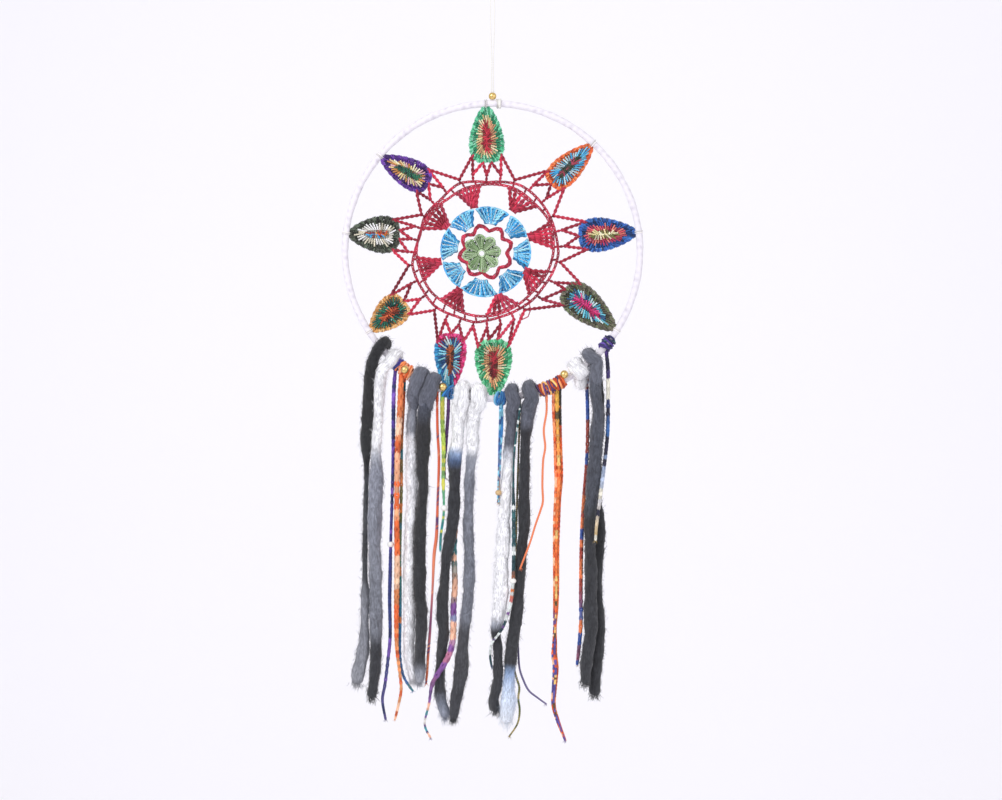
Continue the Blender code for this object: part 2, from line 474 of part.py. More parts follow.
def smooth_route(points, step):
    """Points a step apart on a smooth curve through the route's own points, each with a radius."""
    dense = []
    last = len(points) - 1
    for i in range(last):
        p0, p1, p2, p3 = (Vector(points[min(max(i + k, 0), last)]) for k in (-1, 0, 1, 2))
        for s in range(ROUTE_SAMPLES):
            t = s / ROUTE_SAMPLES
            dense.append(0.5 * (2 * p1 + (p2 - p0) * t + (2 * p0 - 5 * p1 + 4 * p2 - p3) * t * t
                                + (3 * p1 - p0 - 3 * p2 + p3) * t**3))
    dense.append(Vector(points[-1]))
    walked = [0.0]
    for a, b in zip(dense, dense[1:]):
        walked.append(walked[-1] + (b.xyz - a.xyz).length)
    count = max(4, round(walked[-1] / step))
    route, i = [], 0
    for n in range(count + 1):
        target = walked[-1] * n / count
        while i < len(walked) - 2 and walked[i + 1] < target:
            i += 1
        share = (target - walked[i]) / (walked[i + 1] - walked[i])
        route.append(dense[i].lerp(dense[i + 1], share))
    return route, walked[-1]


def cord(name, route, mat, parent=None, cyclic=False, thick=None):
    """A plain round tube along a route of (x, y, z, radius) in metres."""
    radius = thick or max(p[3] for p in route)
    curve = bpy.data.curves.new(name, "CURVE")
    curve.dimensions = "3D"
    curve.bevel_depth = radius
    curve.bevel_resolution = 2
    curve.use_fill_caps = not cyclic
    curve.resolution_u = 1
    curve.render_resolution_u = 0
    base = world_place(parent) if parent else Vector()
    spline = curve.splines.new("POLY")
    spline.points.add(len(route) - 1)
    spline.use_cyclic_u = cyclic
    for point, (x, y, z, r) in zip(spline.points, route):
        point.co = (x - base.x, y - base.y, z - base.z, 1.0)
        point.radius = r / radius
    return add_object(name, curve, mat, parent)


def metres(points):
    return [Vector(p) * MM for p in points]


def build_hanging():
    """Loop, knot, the two legs of the thread and the metal bead that slides on them."""
    cotton = material("white cotton thread", WHITE_COTTON)
    middle = LOOP_HEIGHT / 2
    loop = []
    for k in range(LOOP_POINTS):
        turn = 2 * pi * k / LOOP_POINTS
        width = LOOP_WIDTH / 2 * (LOOP_TAPER + (1 - LOOP_TAPER) * cos(turn / 2) ** 2)
        loop.append(Vector((width * sin(turn), 0.0, -middle + middle * cos(turn), THREAD_R)))
    cord("hanging_loop", loop, cotton, cyclic=True)
    swing = empty("swing_pivot", (0.0, 0.0, PIVOT_Z))
    ball = bmesh.new()
    bmesh.ops.create_icosphere(ball, subdivisions=2, radius=KNOT_BALL_R)
    mesh = bpy.data.meshes.new("loop_knot")
    ball.to_mesh(mesh)
    ball.free()
    add_object("loop_knot", mesh, cotton, swing)
    top = PIVOT_Z - KNOT_BALL_R - GAP
    foot = -HOOP_DROP + HOOP_TUBE_R + GAP
    pinch = foot + LEG_CLOSES  # the legs run side by side from here down
    wide = LEG_PINCH + LEG_SPREAD
    for name, side in (("thread_left", -1), ("thread_right", 1)):
        leg = [
            (side * (LEG_PINCH + GAP), 0.0, top, THREAD_R),
            (side * wide, 0.0, top - LEG_OPENS, THREAD_R),
            (side * wide, 0.0, (top + pinch) / 2, THREAD_R),
            (side * LEG_PINCH, 0.0, pinch, THREAD_R),
            (side * LEG_PINCH, 0.0, (pinch + foot) / 2, THREAD_R),
            (side * LEG_PINCH, 0.0, foot, THREAD_R),
        ]
        route, _ = smooth_route(leg, LEG_STEP)
        cord(name, route, cotton, swing)
    brass = material("brass", (0.80, 0.58, 0.22), 0.3, 1.0)
    bead_z = -HOOP_DROP + HOOP_TUBE_R + BEAD_REST + BEAD_HEIGHT / 2
    turned("top_bead", bead_profile(BEAD_R, BEAD_HEIGHT, BEAD_HOLE_R), brass, (0, 0, bead_z),
           parent=swing)


def build_hoop():
    """The bare ring, its wound cover and the hitch that ties the thread to it."""
    steel = material("ring steel", (0.55, 0.55, 0.56), 0.4, 1.0)
    cotton = material("cotton wrap", WHITE_COTTON)
    turns = [2 * pi * k / HOOP_SEGMENTS for k in range(HOOP_SEGMENTS)]
    ring = hoop_tube(turns, [RING_WIRE_R] * HOOP_SEGMENTS)
    verts = [v for points in ring for v in points]
    mesh_object("hoop_ring", verts, skin(ring, 0, TUBE_SIDES, True), steel)
    # the winding starts and ends one segment apart, under the middle wool knot
    first = round((2 * pi + atan2(hoop_depth(KNOTS[2][1] * MM) - HOOP_Z, KNOTS[2][1] * MM))
                  / (2 * pi) * HOOP_SEGMENTS)
    wound = [2 * pi * (first + 1 + k) / HOOP_SEGMENTS for k in range(HOOP_SEGMENTS)]
    count = len(wound)
    sleeve("hoop_wrap", wound, [RING_WIRE_R + GAP] * count, [HOOP_TUBE_R] * count, cotton)
    hitch = [asin((TIE_FROM + TIE_LENGTH * k / 2) / HOOP_R) for k in range(3)]
    inner = HOOP_TUBE_R + SLEEVE_GAP
    end = inner + TIE_WALL * TIE_TAPER
    sleeve("hoop_tie", [pi / 2 - a for a in hitch], [inner] * 3, [end, inner + TIE_WALL, end], cotton)


def build_mandala():
    """Flower, zigzag ring, ring of shells, and the crimson net with its fans and struts."""
    green = material("sage cotton", (0.40, 0.56, 0.34))
    crimson = material("crimson cotton", (0.52, 0.03, 0.09))
    blue = material("sky blue cotton", (0.13, 0.56, 0.84))
    rim = []
    for k in range(PETALS * PETAL_SEGMENTS):
        turn = 360 * k / (PETALS * PETAL_SEGMENTS)
        lobe = 1 - PETAL_NOTCH + PETAL_NOTCH * abs(cos(radians(turn * PETALS / 2)))
        rim.append(polar(FLOWER_R * lobe, turn))
    plate("flower", rim, [tuple(range(len(rim)))], FLOWER_THICK, green)

    count = LATTICE_SEGMENTS
    inner = [polar(FLOWER_R + GAP, 360 * k / count) for k in range(count)]
    outer = [polar(LATTICE_R - GAP, 360 * k / count) for k in range(count)]
    quads = [(k, (k + 1) % count, count + (k + 1) % count, count + k) for k in range(count)]
    plate("zigzag_ring", inner + outer, quads, NET_THICK, crimson)

    build_shells(blue)
    build_net(crimson)


def build_shells(mat):
    """Eight crocheted shells joined at their feet and their tops, open between each other."""
    edges = []
    for gap in sorted(a % 360 for a in SHELL_GAPS):
        edges.append((gap - SHELL_GAP_HALF, True))
        edges.append((gap + SHELL_GAP_HALF, False))
    stops = []
    for i, (angle, opens) in enumerate(edges):
        nxt = edges[(i + 1) % len(edges)][0] + (360 if i == len(edges) - 1 else 0)
        pieces = 1 if opens else 3
        for k in range(pieces):
            stops.append((angle + (nxt - angle) * k / pieces, opens))
    top = SHELL_R - GAP
    radii = (LATTICE_R, LATTICE_R + SHELL_CHAIN, top - SHELL_CHAIN, top)
    verts = [polar(r, angle) for r in radii for angle, _ in stops]
    count = len(stops)
    faces = []
    for band in range(3):
        for k, (_, opens) in enumerate(stops):
            if band == 1 and opens:
                continue
            n = (k + 1) % count
            a, b = band * count, (band + 1) * count
            faces.append((a + k, a + n, b + n, b + k))
    plate("blue_shells", verts, faces, NET_THICK, mat)


def leaf_points(leaf):
    """The middle of a leaf's foot, and its tip, measured from the mandala's centre."""
    _, foot_angle, stand_off, tip_angle, _, _ = leaf
    foot = Vector(polar(BAND_OUT_R + stand_off * MM, foot_angle))
    tip = Vector(polar(TIP_REACH, tip_angle)) - Vector((MANDALA_X, MANDALA_Z))
    return foot, tip


def build_net(mat):
    """The double band, the fans inside it and the struts out to the leaves, as one crocheted piece."""
    step = 360 / BAND_SEGMENTS
    verts = [polar(BAND_IN_R, step * k) for k in range(BAND_SEGMENTS)]
    verts += [polar(BAND_OUT_R, step * k) for k in range(BAND_SEGMENTS)]
    faces = []
    for k in range(BAND_SEGMENTS):
        n = (k + 1) % BAND_SEGMENTS
        faces.append((k, n, BAND_SEGMENTS + n, BAND_SEGMENTS + k))
    half = round(FAN_OUT_HALF / step)
    for angle in FANS:
        middle = round(angle / step)
        foot = len(verts)
        verts.append(polar(SHELL_R, angle + FAN_APEX_HALF))
        verts.append(polar(SHELL_R, angle - FAN_APEX_HALF))
        rim = [(middle + k) % BAND_SEGMENTS for k in range(-half, half + 1)]
        faces.append((foot, foot + 1, *rim))
    ways = []
    for leaf in LEAVES:
        base, tip = leaf_points(leaf)
        ways.append((degrees(atan2(base.y, base.x)) % 360, base, (tip - base).normalized()))
    ways.sort(key=lambda way: way[0])
    between = []
    for i, way in enumerate(ways):
        before = ways[i - 1][0] - (360 if i == 0 else 0)
        between.append(round((before + way[0]) / 2 / step))
    for i, (_, base, way) in enumerate(ways):
        start = between[i]
        end = between[(i + 1) % len(ways)] + (BAND_SEGMENTS if i == len(ways) - 1 else 0)
        side = Vector((-way.y, way.x))
        head = len(verts)
        foot = base - way * SLEEVE_GAP
        verts.append(tuple(foot + side * FOOT_HALF))
        verts.append(tuple(foot - side * FOOT_HALF))
        rim = [BAND_SEGMENTS + k % BAND_SEGMENTS for k in range(start, end + 1)]
        faces.append((head, head + 1, *rim))
    plate("crimson_net", verts, faces, NET_THICK, mat)


def build_leaves():
    """Almond leaves: round at the foot, pointed where they are tied to the hoop."""
    for leaf in LEAVES:
        name, _, _, _, width, colour = leaf
        base, tip = leaf_points(leaf)
        way = tip - base
        side = Vector((-way.y, way.x)).normalized()
        right, left = [], []
        for k in range(1, LEAF_STEPS):
            t = k / LEAF_STEPS
            half = width * MM / 2 * sin(pi * t**LEAF_LOW) ** LEAF_FULL
            right.append(base + way * t - side * half)
            left.append(base + way * t + side * half)
        foot = [base + side * LEAF_FOOT_HALF, base - side * LEAF_FOOT_HALF]
        rim = [tuple(p) for p in foot + right + [tip] + left[::-1]]
        mat = material(name.replace("_", " ") + " cotton", colour)
        plate(name, rim, [tuple(range(len(rim)))], LEAF_THICK, mat)


def build_knots():
    """Larks' heads round the hoop, each with two lobes side by side."""
    for name, x, half, wall, colour in KNOTS:
        x = x * MM
        middle = atan2(hoop_depth(x) - HOOP_Z, x)
        reach = half * MM / HOOP_R
        inner = HOOP_TUBE_R + SLEEVE_GAP
        angles, outer = [], []
        for k, full in enumerate((0.45, 0.95, 0.80, 0.95, 0.45)):
            angles.append(middle + reach * (k - 2) / 2)
            outer.append(inner + wall * full)
        sleeve(name, angles, [inner] * 5, outer, material(name.replace("_", " "), colour))


def build_hoop_beads():
    """Beads tied against the front of the hoop, their holes along it."""
    amber = material("amber glass", (0.78, 0.47, 0.12), 0.2)
    profile = bead_profile(HOOP_BEAD_R, HOOP_BEAD_LONG, HOOP_BEAD_HOLE_R)
    for name, x, lift in HOOP_BEADS:
        place = (x * MM, -HOOP_TUBE_R - SLEEVE_GAP - HOOP_BEAD_R, hoop_depth(x * MM) + lift * MM)
        turned(name, profile, amber, place, Vector((1, 0, 0)))


def build_free_yarn():
    """Every tassel's tails and strands, as plain tubes under a pivot on the hoop."""
    pivots = {}
    for body, x in PIVOTS.items():
        pivots[body] = empty("pivot_" + body, (x * MM, 0.0, hoop_depth(x * MM)))
    for name, body, colour, points in WOOL + YARN:
        thick = max(p[3] for p in points) * MM
        step = THIN_STEP if thick < THIN_CORD_R * 1.2 else thick * 2 * CORD_STEP
        route, _ = smooth_route(metres(points), step)
        cord(name, route, material(name.replace("_", " "), colour), pivots[body])
    for name, strand, down, height, colour in YARN_BEADS:
        body, points = next((s[1], s[3]) for s in YARN if s[0] == strand)
        route, _ = smooth_route(metres(points), ROUTE_FINE)
        walked, i = 0.0, 0
        while walked < down * MM:
            walked += (route[i + 1].xyz - route[i].xyz).length
            i += 1
        way = (route[i + 4].xyz - route[i - 4].xyz).normalized()
        hole = route[i].w + BEAD_SNUG
        bead = bead_profile(hole + YARN_BEAD_WALL, height * MM * BEAD_ROUND, hole)
        turned(name, bead, material(name.replace("_", " "), colour, 0.4), route[i].xyz, way,
               sides=10, parent=pivots[body])


def build():
    for obj in list(bpy.data.objects):
        bpy.data.objects.remove(obj)
    build_hanging()
    build_hoop()
    build_mandala()
    build_leaves()
    build_knots()
    build_hoop_beads()
    build_free_yarn()


build()
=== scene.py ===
# %% [markdown]
# A crocheted dream catcher. A steel ring is wound with white cotton, a bright crocheted mandala
# with nine leaves is tied inside it, and felted wool tails and cotton strands hang below.
# The CAD frame is loaded first: it says where every piece belongs, and it never moves.

# %% The frame and its size
import json
import bpy
import numpy as np
from math import cos, pi, radians, sin, sqrt
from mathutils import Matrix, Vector


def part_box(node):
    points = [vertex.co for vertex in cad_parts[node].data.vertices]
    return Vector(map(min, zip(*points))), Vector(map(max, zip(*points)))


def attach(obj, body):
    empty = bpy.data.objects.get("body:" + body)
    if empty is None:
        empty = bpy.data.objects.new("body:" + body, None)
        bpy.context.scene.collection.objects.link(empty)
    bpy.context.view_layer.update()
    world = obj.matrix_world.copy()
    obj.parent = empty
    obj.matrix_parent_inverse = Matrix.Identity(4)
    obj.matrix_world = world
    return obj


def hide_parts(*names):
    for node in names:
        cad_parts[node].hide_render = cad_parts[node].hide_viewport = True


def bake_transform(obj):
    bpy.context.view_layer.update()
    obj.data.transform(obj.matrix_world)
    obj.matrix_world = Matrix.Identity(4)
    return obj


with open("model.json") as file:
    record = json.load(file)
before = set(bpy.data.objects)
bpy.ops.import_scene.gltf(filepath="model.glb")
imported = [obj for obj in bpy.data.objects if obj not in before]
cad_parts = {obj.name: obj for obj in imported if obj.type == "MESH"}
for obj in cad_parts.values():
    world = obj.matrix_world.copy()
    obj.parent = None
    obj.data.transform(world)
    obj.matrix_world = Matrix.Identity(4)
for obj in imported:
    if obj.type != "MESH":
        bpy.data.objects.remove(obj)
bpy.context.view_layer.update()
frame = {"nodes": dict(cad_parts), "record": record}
rng = np.random.default_rng(11)
MM = 0.001

low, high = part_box("hoop_wrap")
HOOP = (low + high) / 2
HOOP_OUT = (high.x - low.x) / 2
TUBE_R = (high.y - low.y) / 2
HOOP_R = HOOP_OUT - TUBE_R
low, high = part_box("flower")
MIDDLE = (low + high) / 2
print("hoop radius", round(HOOP_R, 4), "wrapped tube radius", round(TUBE_R, 4))

# %% [markdown]
# The light is that of a pale studio: a white room, one large soft lamp from the upper left and a
# weaker one from the right. The camera stands level with the middle of the piece, far enough
# away that the hoop stays round. The wall is well behind, and the floor far below.

# %% Room, light and camera
def clear_selection():
    bpy.ops.object.select_all(action="DESELECT")


def linear(code, alpha=1.0):
    """An sRGB hex code as the linear colour that shaders use."""
    parts = [int(code[i:i + 2], 16) / 255 for i in (1, 3, 5)]
    return (*(c / 12.92 if c <= 0.04045 else ((c + 0.055) / 1.055) ** 2.4 for c in parts), alpha)


def add_node(tree, kind, links=(), **settings):
    """Adds a node. Settings are its properties or its inputs; links are (input, socket)."""
    node = tree.nodes.new(kind)
    for key, value in settings.items():
        if hasattr(node, key):
            setattr(node, key, value)
        else:
            node.inputs[key.replace("_", " ")].default_value = value
    for key, socket in links:
        tree.links.new(socket, node.inputs[key])
    return node


def new_material(name, **shader_values):
    mat = bpy.data.materials.new(name)
    mat.use_nodes = True
    shader = mat.node_tree.nodes["Principled BSDF"]
    for key, value in shader_values.items():
        shader.inputs[key.replace("_", " ")].default_value = value
    return mat, mat.node_tree, shader


plaster, tree, shader = new_material("matt white wall paint", Roughness=1.0)
grain = add_node(tree, "ShaderNodeTexNoise", Scale=3.0, Detail=2.0)
tint = add_node(tree, "ShaderNodeMix", [("Factor", grain.outputs["Fac"])], data_type="RGBA")
tint.inputs["A"].default_value = linear("#F8F7FA")
tint.inputs["B"].default_value = linear("#FBFAFC")
tree.links.new(tint.outputs["Result"], shader.inputs["Base Color"])

clear_selection()
bpy.ops.mesh.primitive_plane_add(size=14, location=(0, -1.0, -2.0))
floor = bpy.context.object
floor.name = "studio_floor"
bpy.ops.object.mode_set(mode="EDIT")
bpy.ops.mesh.select_mode(type="EDGE")
bpy.ops.mesh.select_all(action="DESELECT")
bpy.ops.object.mode_set(mode="OBJECT")
for edge in floor.data.edges:
    edge.select = all(floor.data.vertices[i].co.y > 6 for i in edge.vertices)
bpy.ops.object.mode_set(mode="EDIT")
bpy.ops.mesh.extrude_region_move(TRANSFORM_OT_translate={"value": (0, 0, 8)})
bpy.ops.object.mode_set(mode="OBJECT")
bpy.ops.object.transform_apply(location=True, rotation=True, scale=True)
curve_up = floor.modifiers.new("cove", "BEVEL")
curve_up.width, curve_up.segments = 1.0, 8
bpy.ops.object.modifier_apply(modifier="cove")
floor.data.materials.append(plaster)
bpy.ops.object.shade_smooth()

world = bpy.data.worlds.new("pale room")
bpy.context.scene.world = world
world.use_nodes = True
world.node_tree.nodes["Background"].inputs["Color"].default_value = linear("#F7F6FC")
world.node_tree.nodes["Background"].inputs["Strength"].default_value = 0.82

for name, place, power, size in (
    ("key_lamp", (-1.5, -2.3, 0.9), 46, 1.6),
    ("side_lamp", (2.0, -1.9, -0.1), 12, 1.8),
    ("wall_lamp", (0.0, 1.4, 1.4), 42, 2.5),
):
    lamp = bpy.data.lights.new(name, "AREA")
    lamp.energy, lamp.size = power, size
    held = bpy.data.objects.new(name, lamp)
    bpy.context.collection.objects.link(held)
    held.location = place
    aim = Vector((0, 4.5, -0.6)) if name == "wall_lamp" else Vector((0, 0, -0.42))
    held.rotation_mode = "QUATERNION"
    held.rotation_quaternion = (aim - held.location).to_track_quat("-Z", "Y")

VIEW_WIDE = 1.002  # metres across the picture, at the hoop
STAND_OFF = 2.6
lens = bpy.data.cameras.new("camera")
lens.sensor_width = 36
lens.lens = 36 * STAND_OFF / VIEW_WIDE
camera = bpy.data.objects.new("camera", lens)
bpy.context.collection.objects.link(camera)
camera.location = (0.0085, -STAND_OFF, -0.436)
camera.rotation_euler = (pi / 2, 0, 0)
bpy.context.scene.camera = camera
bpy.context.scene.view_settings.view_transform = "Standard"

# %% [markdown]
# Everything soft here is yarn, so one small workshop serves it all. A piece gathers tubes that
# follow a line, each point with its own colour, and becomes one mesh at the end. Two point
# attributes go with it: "colour", the dye, and "lay", the point's place on the yarn if it were
# pulled straight, in millimetres, which lets a pattern run along the fibres.

# %% The yarn workshop
def tones(code_list):
    return np.array([linear(code)[:3] for code in code_list])


class Piece:
    """Gathers vertices, faces and colours, and turns them into one object."""

    def __init__(self):
        self.verts, self.faces, self.dye, self.lay = [], [], [], []
        self.count = 0

    def add(self, verts, faces, colour, lay):
        verts = np.asarray(verts, float).reshape(-1, 3)
        self.verts.append(verts)
        self.faces.extend([tuple(i + self.count for i in face) for face in faces])
        self.dye.append(np.broadcast_to(colour, verts.shape))
        self.lay.append(np.asarray(lay, float).reshape(-1, 3))
        self.count += len(verts)

    def finish(self, name, mat, body, slot, nodes=(), bend=None):
        """bend, if given, is (second body, start, end): the piece is then left where it is made and
        attached to no body; what the tuple holds is not used.
        """
        mesh = bpy.data.meshes.new(name)
        mesh.from_pydata(np.concatenate(self.verts), [], self.faces)
        rows = np.concatenate(self.dye)
        rgba = np.ones((len(rows), 4), np.float32)
        rgba[:, :3] = np.clip(rows, 0, 1)
        paint = mesh.color_attributes.new("colour", "FLOAT_COLOR", "POINT")
        paint.data.foreach_set("color", rgba.ravel())
        laid = mesh.attributes.new("lay", "FLOAT_VECTOR", "POINT")
        laid.data.foreach_set("vector", np.concatenate(self.lay).astype(np.float32).ravel())
        mesh.shade_smooth()
        mesh.materials.append(mat)
        obj = bpy.data.objects.new(name, mesh)
        bpy.context.collection.objects.link(obj)
        if nodes:
            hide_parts(*nodes)
        if bend:
            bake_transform(obj)
        else:
            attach(obj, body)
        return obj


def frames_along(points, ref):
    points = np.asarray(points, float)
    way = np.gradient(points, axis=0)
    way /= np.linalg.norm(way, axis=1)[:, None]
    side = np.cross(way, ref)
    side /= np.linalg.norm(side, axis=1)[:, None]
    return points, way, side, np.cross(way, side)


def tube(piece, points, radii, colours, sides=8, ref=(0.0, 1.0, 0.0), closed=False):
    """A tube along points. radii may differ at every vertex, colours at every ring."""
    points, way, side, up = frames_along(points, ref)
    n = len(points)
    if closed:
        way = np.roll(points, -1, 0) - np.roll(points, 1, 0)
        way /= np.linalg.norm(way, axis=1)[:, None]
        side = np.cross(way, ref)
        side /= np.linalg.norm(side, axis=1)[:, None]
        up = np.cross(way, side)
    turn = 2 * pi * np.arange(sides) / sides
    radii = np.broadcast_to(np.asarray(radii, float).reshape(-1, 1) if np.ndim(radii) < 2 else radii,
                            (n, sides))
    ring = side[:, None] * np.cos(turn)[None, :, None] + up[:, None] * np.sin(turn)[None, :, None]
    verts = points[:, None] + radii[..., None] * ring
    along = np.concatenate([[0], np.cumsum(np.linalg.norm(np.diff(points, axis=0), axis=1))])
    lay = np.zeros((n, sides, 3))
    lay[..., 0] = radii * np.cos(turn) * 1000
    lay[..., 1] = radii * np.sin(turn) * 1000
    lay[..., 2] = along[:, None] * 1000
    faces = []
    for i in range(n if closed else n - 1):
        j = (i + 1) % n
        for k in range(sides):
            m = (k + 1) % sides
            faces.append((i * sides + k, i * sides + m, j * sides + m, j * sides + k))
    if not closed:
        faces.append(tuple(range(sides))[::-1])
        faces.append(tuple((n - 1) * sides + k for k in range(sides)))
    colours = np.repeat(np.broadcast_to(colours, (n, 3)), sides, 0)
    piece.add(verts, faces, colours, lay)
    return verts, ring, way


def smooth_route(points, step):
    """Points a step apart on a smooth curve through a route of (x, y, z, radius)."""
    last = len(points) - 1
    dense = []
    for i in range(last):
        p0, p1, p2, p3 = (np.array(points[min(max(i + k, 0), last)], float) for k in (-1, 0, 1, 2))
        for s in range(24):
            t = s / 24
            dense.append(0.5 * (2 * p1 + (p2 - p0) * t + (2 * p0 - 5 * p1 + 4 * p2 - p3) * t * t
                                + (3 * p1 - p0 - 3 * p2 + p3) * t**3))
    dense = np.array(dense + [np.array(points[-1], float)])
    walked = np.concatenate([[0], np.cumsum(np.linalg.norm(np.diff(dense[:, :3], axis=0), axis=1))])
    wanted = np.linspace(0, walked[-1], max(6, round(walked[-1] / step)) + 1)
    return np.stack([np.interp(wanted, walked, dense[:, k]) for k in range(4)], 1), walked[-1]


def dye_at(heights, stops):
    """Colours for heights (m) from (height in mm, hex) stops, top first."""
    marks = np.array([-z for z, _ in stops], float)
    shades = tones([code for _, code in stops])
    return np.stack([np.interp(-np.asarray(heights) * 1000, marks, shades[:, k]) for k in range(3)], 1)


# %% [markdown]
# Wool roving felts as it is handled: the strand is soft, uneven and matt, fibres run along it in
# waves, and loose ones stand off as a haze. Cotton yarn is smoother and shows its twist. Both
# materials take their dye from the "colour" attribute; what differs is the fibre pattern, the
# sheen of loose fibres, and the depth of the relief.

# %% Wool and cotton
def fibre_material(name, fibre_mm, run_mm, relief, uneven, sheen, rough, patchy=0.0):
    """fibre_mm is the width of a lock of fibres, run_mm how far one runs before it wanders.
    patchy is how much lighter or darker whole patches are, a few millimetres across."""
    mat, tree, shader = new_material(name, Roughness=rough, Sheen_Weight=sheen, Sheen_Roughness=0.5)
    dye = add_node(tree, "ShaderNodeAttribute", attribute_name="colour")
    lay = add_node(tree, "ShaderNodeAttribute", attribute_name="lay")
    stretch = add_node(tree, "ShaderNodeMapping", [("Vector", lay.outputs["Vector"])],
                       Scale=(1 / fibre_mm, 1 / fibre_mm, 1 / run_mm))
    locks = add_node(tree, "ShaderNodeTexNoise", [("Vector", stretch.outputs["Vector"])],
                     Scale=1.0, Detail=4.0, Roughness=0.62, Distortion=0.6)
    shade = add_node(tree, "ShaderNodeMapRange", [("Value", locks.outputs["Fac"])],
                     From_Min=0.25, From_Max=0.75, To_Min=1 - uneven, To_Max=1 + uneven)
    wander = add_node(tree, "ShaderNodeMapping", [("Vector", lay.outputs["Vector"])],
                      Scale=(0.34, 0.34, 0.13))
    broad = add_node(tree, "ShaderNodeTexNoise", [("Vector", wander.outputs["Vector"])],
                     Scale=1.0, Detail=2.0, Distortion=1.6)
    patches = add_node(tree, "ShaderNodeMapRange", [("Value", broad.outputs["Fac"])],
                       From_Min=0.3, From_Max=0.7, To_Min=1 - patchy, To_Max=1 + patchy)
    both = add_node(tree, "ShaderNodeMath", operation="MULTIPLY",
                    links=[(0, shade.outputs["Result"]), (1, patches.outputs["Result"])])
    mixed = add_node(tree, "ShaderNodeVectorMath", operation="MULTIPLY",
                     links=[(0, dye.outputs["Color"]), (1, both.outputs["Value"])])
    tree.links.new(mixed.outputs["Vector"], shader.inputs["Base Color"])
    bump = add_node(tree, "ShaderNodeBump", [("Height", locks.outputs["Fac"])],
                    Strength=relief, Distance=fibre_mm * MM)
    tree.links.new(bump.outputs["Normal"], shader.inputs["Normal"])
    return mat


wool = fibre_material("felted wool roving", 0.9, 8.0, 0.5, 0.24, 0.25, 0.95, 0.34)
cotton = fibre_material("mercerised crochet cotton", 0.35, 1.2, 0.5, 0.16, 0.10, 0.62)
wrap_cotton = fibre_material("soft white wrapping yarn", 0.4, 1.6, 0.4, 0.04, 0.2, 0.95)


def loose_fibres(piece, verts, ring, way, colours, count, length, lift):
    """Single fibres that stand off a tube: each is a slim bent sliver of three faces."""
    n, sides = verts.shape[:2]
    i = rng.integers(1, n - 1, count)
    k = rng.integers(0, sides, count)
    base = verts[i, k] + (verts[i, (k + 1) % sides] - verts[i, k]) * rng.random((count, 1))
    out = ring[i, k]
    run = way[i] * rng.choice([-1, 1], (count, 1)) + rng.normal(0, 0.45, (count, 3))
    long = length * rng.uniform(0.4, 1.3, (count, 1))
    rise = lift * rng.random((count, 1)) ** 1.6
    middle = base + run * long * 0.5 + out * rise * 0.8
    tip = base + run * long * 0.9 + out * rise + rng.normal(0, 0.0005, (count, 3))
    thick = np.cross(run, rng.normal(0, 1, (count, 3)))
    thick *= 0.00011 / np.linalg.norm(thick, axis=1)[:, None]
    spots = np.stack([base - thick, base + thick, middle + thick, middle - thick, tip], 1)
    faces = []
    for f in range(count):
        s = f * 5
        faces.append((s, s + 1, s + 2, s + 3))
        faces.append((s + 3, s + 2, s + 4))
    shades = colours[i] * rng.uniform(0.8, 1.25, (count, 1))
    piece.add(spots, faces, np.repeat(shades, 5, 0), np.zeros((count * 5, 3)))


def roving(piece, haze, route, stops, ref=(0.0, 1.0, 0.0), fuzz=16, lumps=0.09, wide=1.0):
    """A felted strand along a route of (x, y, z, radius) in metres, and the haze of fibres on it."""
    line, long = smooth_route(route, 0.0022)
    n, sides = len(line), 16
    s = np.linspace(0, long * 1000, n)
    phase = rng.uniform(0, 6, 4)
    swell = (1 + lumps * 0.6 * np.sin(s / 7.3 + phase[0]) + lumps * 0.5 * np.sin(s / 3.1 + phase[1])
             + rng.normal(0, lumps * 0.25, n))
    turn = 2 * pi * np.arange(sides) / sides
    flat = 1 + 0.10 * np.cos(2 * turn[None] + s[:, None] / 21 + phase[2])
    flat += 0.04 * np.cos(5 * turn[None] + s[:, None] / 9 + phase[3])
    flat = flat * np.sqrt(np.cos(turn) ** 2 + (wide * np.sin(turn)) ** 2)[None]
    radii = line[:, 3:4] * swell[:, None] * flat
    ease = np.clip(np.minimum(s / 1.4, (s[-1] - s) / 4.0), 0, 1)[:, None]
    radii *= 0.35 + 0.65 * np.sqrt(ease * (2 - ease))
    colours = dye_at(line[:, 2], stops) if np.ndim(stops) != 1 else np.tile(stops, (n, 1))
    colours = colours * rng.uniform(0.95, 1.05, (n, 1))
    verts, ring, way = tube(piece, line[:, :3], radii, colours, sides, ref)
    loose_fibres(haze, verts, ring, way, colours, int(long * 1000 * fuzz), 0.0042, 0.0014)
    return line, long, colours


def strand(piece, route, stops, plies=3, pitch=0.0065, mix=(), share=0.0):
    """A chain or plied strand: plies weave round the route's line. mix adds flecks of colour."""
    line, long = smooth_route(route, 0.0010)
    points, way, side, up = frames_along(line[:, :3], (0, 1, 0))
    s = np.linspace(0, long, len(line))
    colours = dye_at(line[:, 2], stops)
    for ply in range(plies):
        angle = 2 * pi * (s / pitch + ply / plies)
        reach = line[:, 3:4] * 0.50
        if plies == 3:
            centre = points + side * reach * np.sin(angle)[:, None] * 1.05
            centre = centre + up * reach * np.sin(2 * angle)[:, None] * 0.7
        else:
            centre = points + (side * np.cos(angle)[:, None] + up * np.sin(angle)[:, None]) * reach
        thick = line[:, 3] * (0.50 if plies == 3 else 0.56)
        shades = colours.copy()
        if len(mix):
            picks = tones(mix)[rng.integers(0, len(mix), len(line) // 6 + 1)].repeat(6, 0)[:len(line)]
            where = np.repeat(rng.random(len(line) // 6 + 1) < share, 6)[:len(line)]
            shades[where] = picks[where]
        tube(piece, centre, thick, shades, 6)
    return line, long

